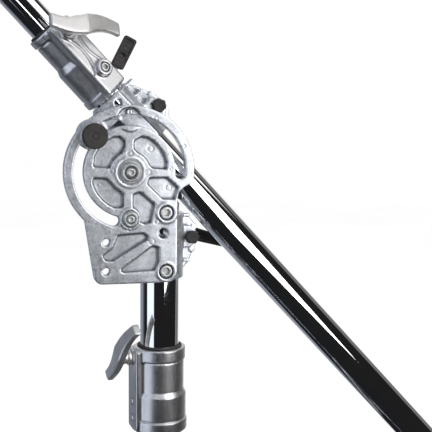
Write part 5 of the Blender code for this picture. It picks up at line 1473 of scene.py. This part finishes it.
def reflection_dome(look):
    """Dome that only reflections see: white panels with dark gaps between them."""
    mesh = bpy.data.meshes.new("reflection_dome")
    shell = bmesh.new()
    bmesh.ops.create_uvsphere(shell, u_segments=96, v_segments=48, radius=9.0)
    shell.to_mesh(mesh)
    shell.free()
    dome = bpy.data.objects.new("reflection_dome", mesh)
    dome.location = (0.0, 0.0, 1.15)
    material = bpy.data.materials.new("studio_panels")
    recipe = Recipe(material)
    where = recipe.node("ShaderNodeTexCoord", out="Object")
    x = recipe.node("ShaderNodeSeparateXYZ", {}, [where], 0)
    y = recipe.node("ShaderNodeSeparateXYZ", {}, [where], 1)
    z = recipe.node("ShaderNodeSeparateXYZ", {}, [where], 2)
    degrees = 180.0 / math.pi
    heading = recipe.node("ShaderNodeMath", {"operation": "ARCTAN2"}, [x, y * -1.0]) * degrees
    rise = recipe.node("ShaderNodeMath", {"operation": "ARCSINE"}, [z * (1.0 / 9.0)]) * degrees
    glow = recipe.fade(rise, 42.0, 56.0, 0.012, 0.85)
    for low, high, bottom, top, level in DOME_PANELS:
        across = recipe.fade(heading, low - 1.5, low + 1.5, 0.0, 1.0)
        across = across * recipe.fade(heading, high - 1.5, high + 1.5, 1.0, 0.0)
        upward = recipe.fade(rise, bottom - 1.5, bottom + 1.5, 0.0, level)
        upward = upward * recipe.fade(rise, top - 1.5, top + 1.5, 1.0, 0.0)
        glow = glow + across * upward
    hue = recipe.mix(recipe.fade(heading, -60.0, 20.0, 0.0, 1.0), (0.86, 0.93, 1.08), (1.0, 1.0, 1.0))
    color = recipe.node("ShaderNodeVectorMath", {"operation": "SCALE"}, {"Vector": hue, "Scale": glow})
    light = recipe.node("ShaderNodeEmission", {}, {"Color": color, "Strength": look.panel})
    recipe.node_out(light)
    material.cycles.emission_sampling = "NONE"
    mesh.materials.append(material)
    dome.visible_camera = False
    dome.visible_diffuse = False
    dome.visible_shadow = False
    dome.visible_transmission = False
    dome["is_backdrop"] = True
    return dome


# panels: heading from and to, in degrees from the front towards +X, height from and to, brightness
DOME_PANELS = (
    (-91.0, -47.0, -34.0, 36.0, 1.0), (96.0, 130.0, -70.0, 40.0, 0.14),
    (130.0, 190.0, -50.0, 40.0, 0.75), (-190.0, -166.0, -50.0, 40.0, 0.34),
    (-166.0, -132.0, -60.0, 40.0, 0.26), (-132.0, -117.0, -60.0, 40.0, 0.10),
    (-60.0, 28.0, 24.0, 44.0, 0.35), (28.0, 80.0, 25.0, 44.0, 1.2),
)


CARD_GAIN = 3.4                # brightness of the cards beside a full panel

# name, middle, width, height, turn about Y
REFLECTION_CARDS = (
    ("head_card", (0.405, -0.55, 1.21), 0.51, 0.62, 0.0),
    ("collar_card", (-0.185, -0.50, 1.135), 0.06, 0.26, -43.0),
)


def stage_camera():
    """Camera a little to the left of the head and above it, looking down on it."""
    turn, dip, roll = math.radians(16.2), math.radians(8.21), math.radians(0.67)
    ahead = Vector((math.sin(turn) * math.cos(dip), math.cos(turn) * math.cos(dip), -math.sin(dip)))
    right = Vector((math.cos(turn), -math.sin(turn), 0.0))
    up = right.cross(ahead)
    right, up = right * math.cos(roll) + up * math.sin(roll), up * math.cos(roll) - right * math.sin(roll)
    data = bpy.data.cameras.new("stage_camera")
    data.sensor_width = 36.0
    data.lens = 85.47
    data.clip_start = 0.05
    data.clip_end = 200.0
    camera = bpy.data.objects.new("stage_camera", data)
    facing = Matrix((right, up, -ahead)).transposed().to_4x4()
    camera.matrix_world = Matrix.Translation((-0.2400, -1.0366, 1.2540)) @ facing
    return camera


class STAND_PT_panel(bpy.types.Panel):
    """Stand pieces and their settings"""
    bl_label = "Boom lighting stand"
    bl_idname = "STAND_PT_panel"
    bl_space_type = "VIEW_3D"
    bl_region_type = "UI"
    bl_category = "Stand"

    def draw(self, context):
        for group in GROUPS:
            settings = getattr(context.scene, group)
            for name in settings.bl_rna.properties.keys():
                if name not in ("rna_type", "name"):
                    self.layout.prop(settings, name)
        for operator in OPERATORS:
            self.layout.operator(operator.bl_idname)


OPERATORS = (STAND_OT_tubes, STAND_OT_tilt_plate, STAND_OT_column_clamp, STAND_OT_bracket,
             STAND_OT_head_fasteners, STAND_OT_lock_knob, STAND_OT_collars, STAND_OT_t_handles,
             STAND_OT_safety_tab, STAND_OT_base, STAND_OT_legs, STAND_OT_spigot, STAND_OT_stage)
GROUPS = {"stand_castings": StandCastings, "stand_handles": StandHandles, "stand_tubes": StandTubes,
          "stand_finish": StandFinish, "stand_stage": StandStage}


def register():
    for kind in (*GROUPS.values(), *OPERATORS, STAND_PT_panel):
        bpy.utils.register_class(kind)
    for name, kind in GROUPS.items():
        setattr(bpy.types.Scene, name, PointerProperty(type=kind))


def unregister():
    for name in GROUPS:
        delattr(bpy.types.Scene, name)
    for kind in reversed((*GROUPS.values(), *OPERATORS, STAND_PT_panel)):
        bpy.utils.unregister_class(kind)


def main():
    register()
    for operator in OPERATORS:
        group, word = operator.bl_idname.split(".")
        getattr(getattr(bpy.ops, group), word)()


if __name__ == "__main__":
    main()
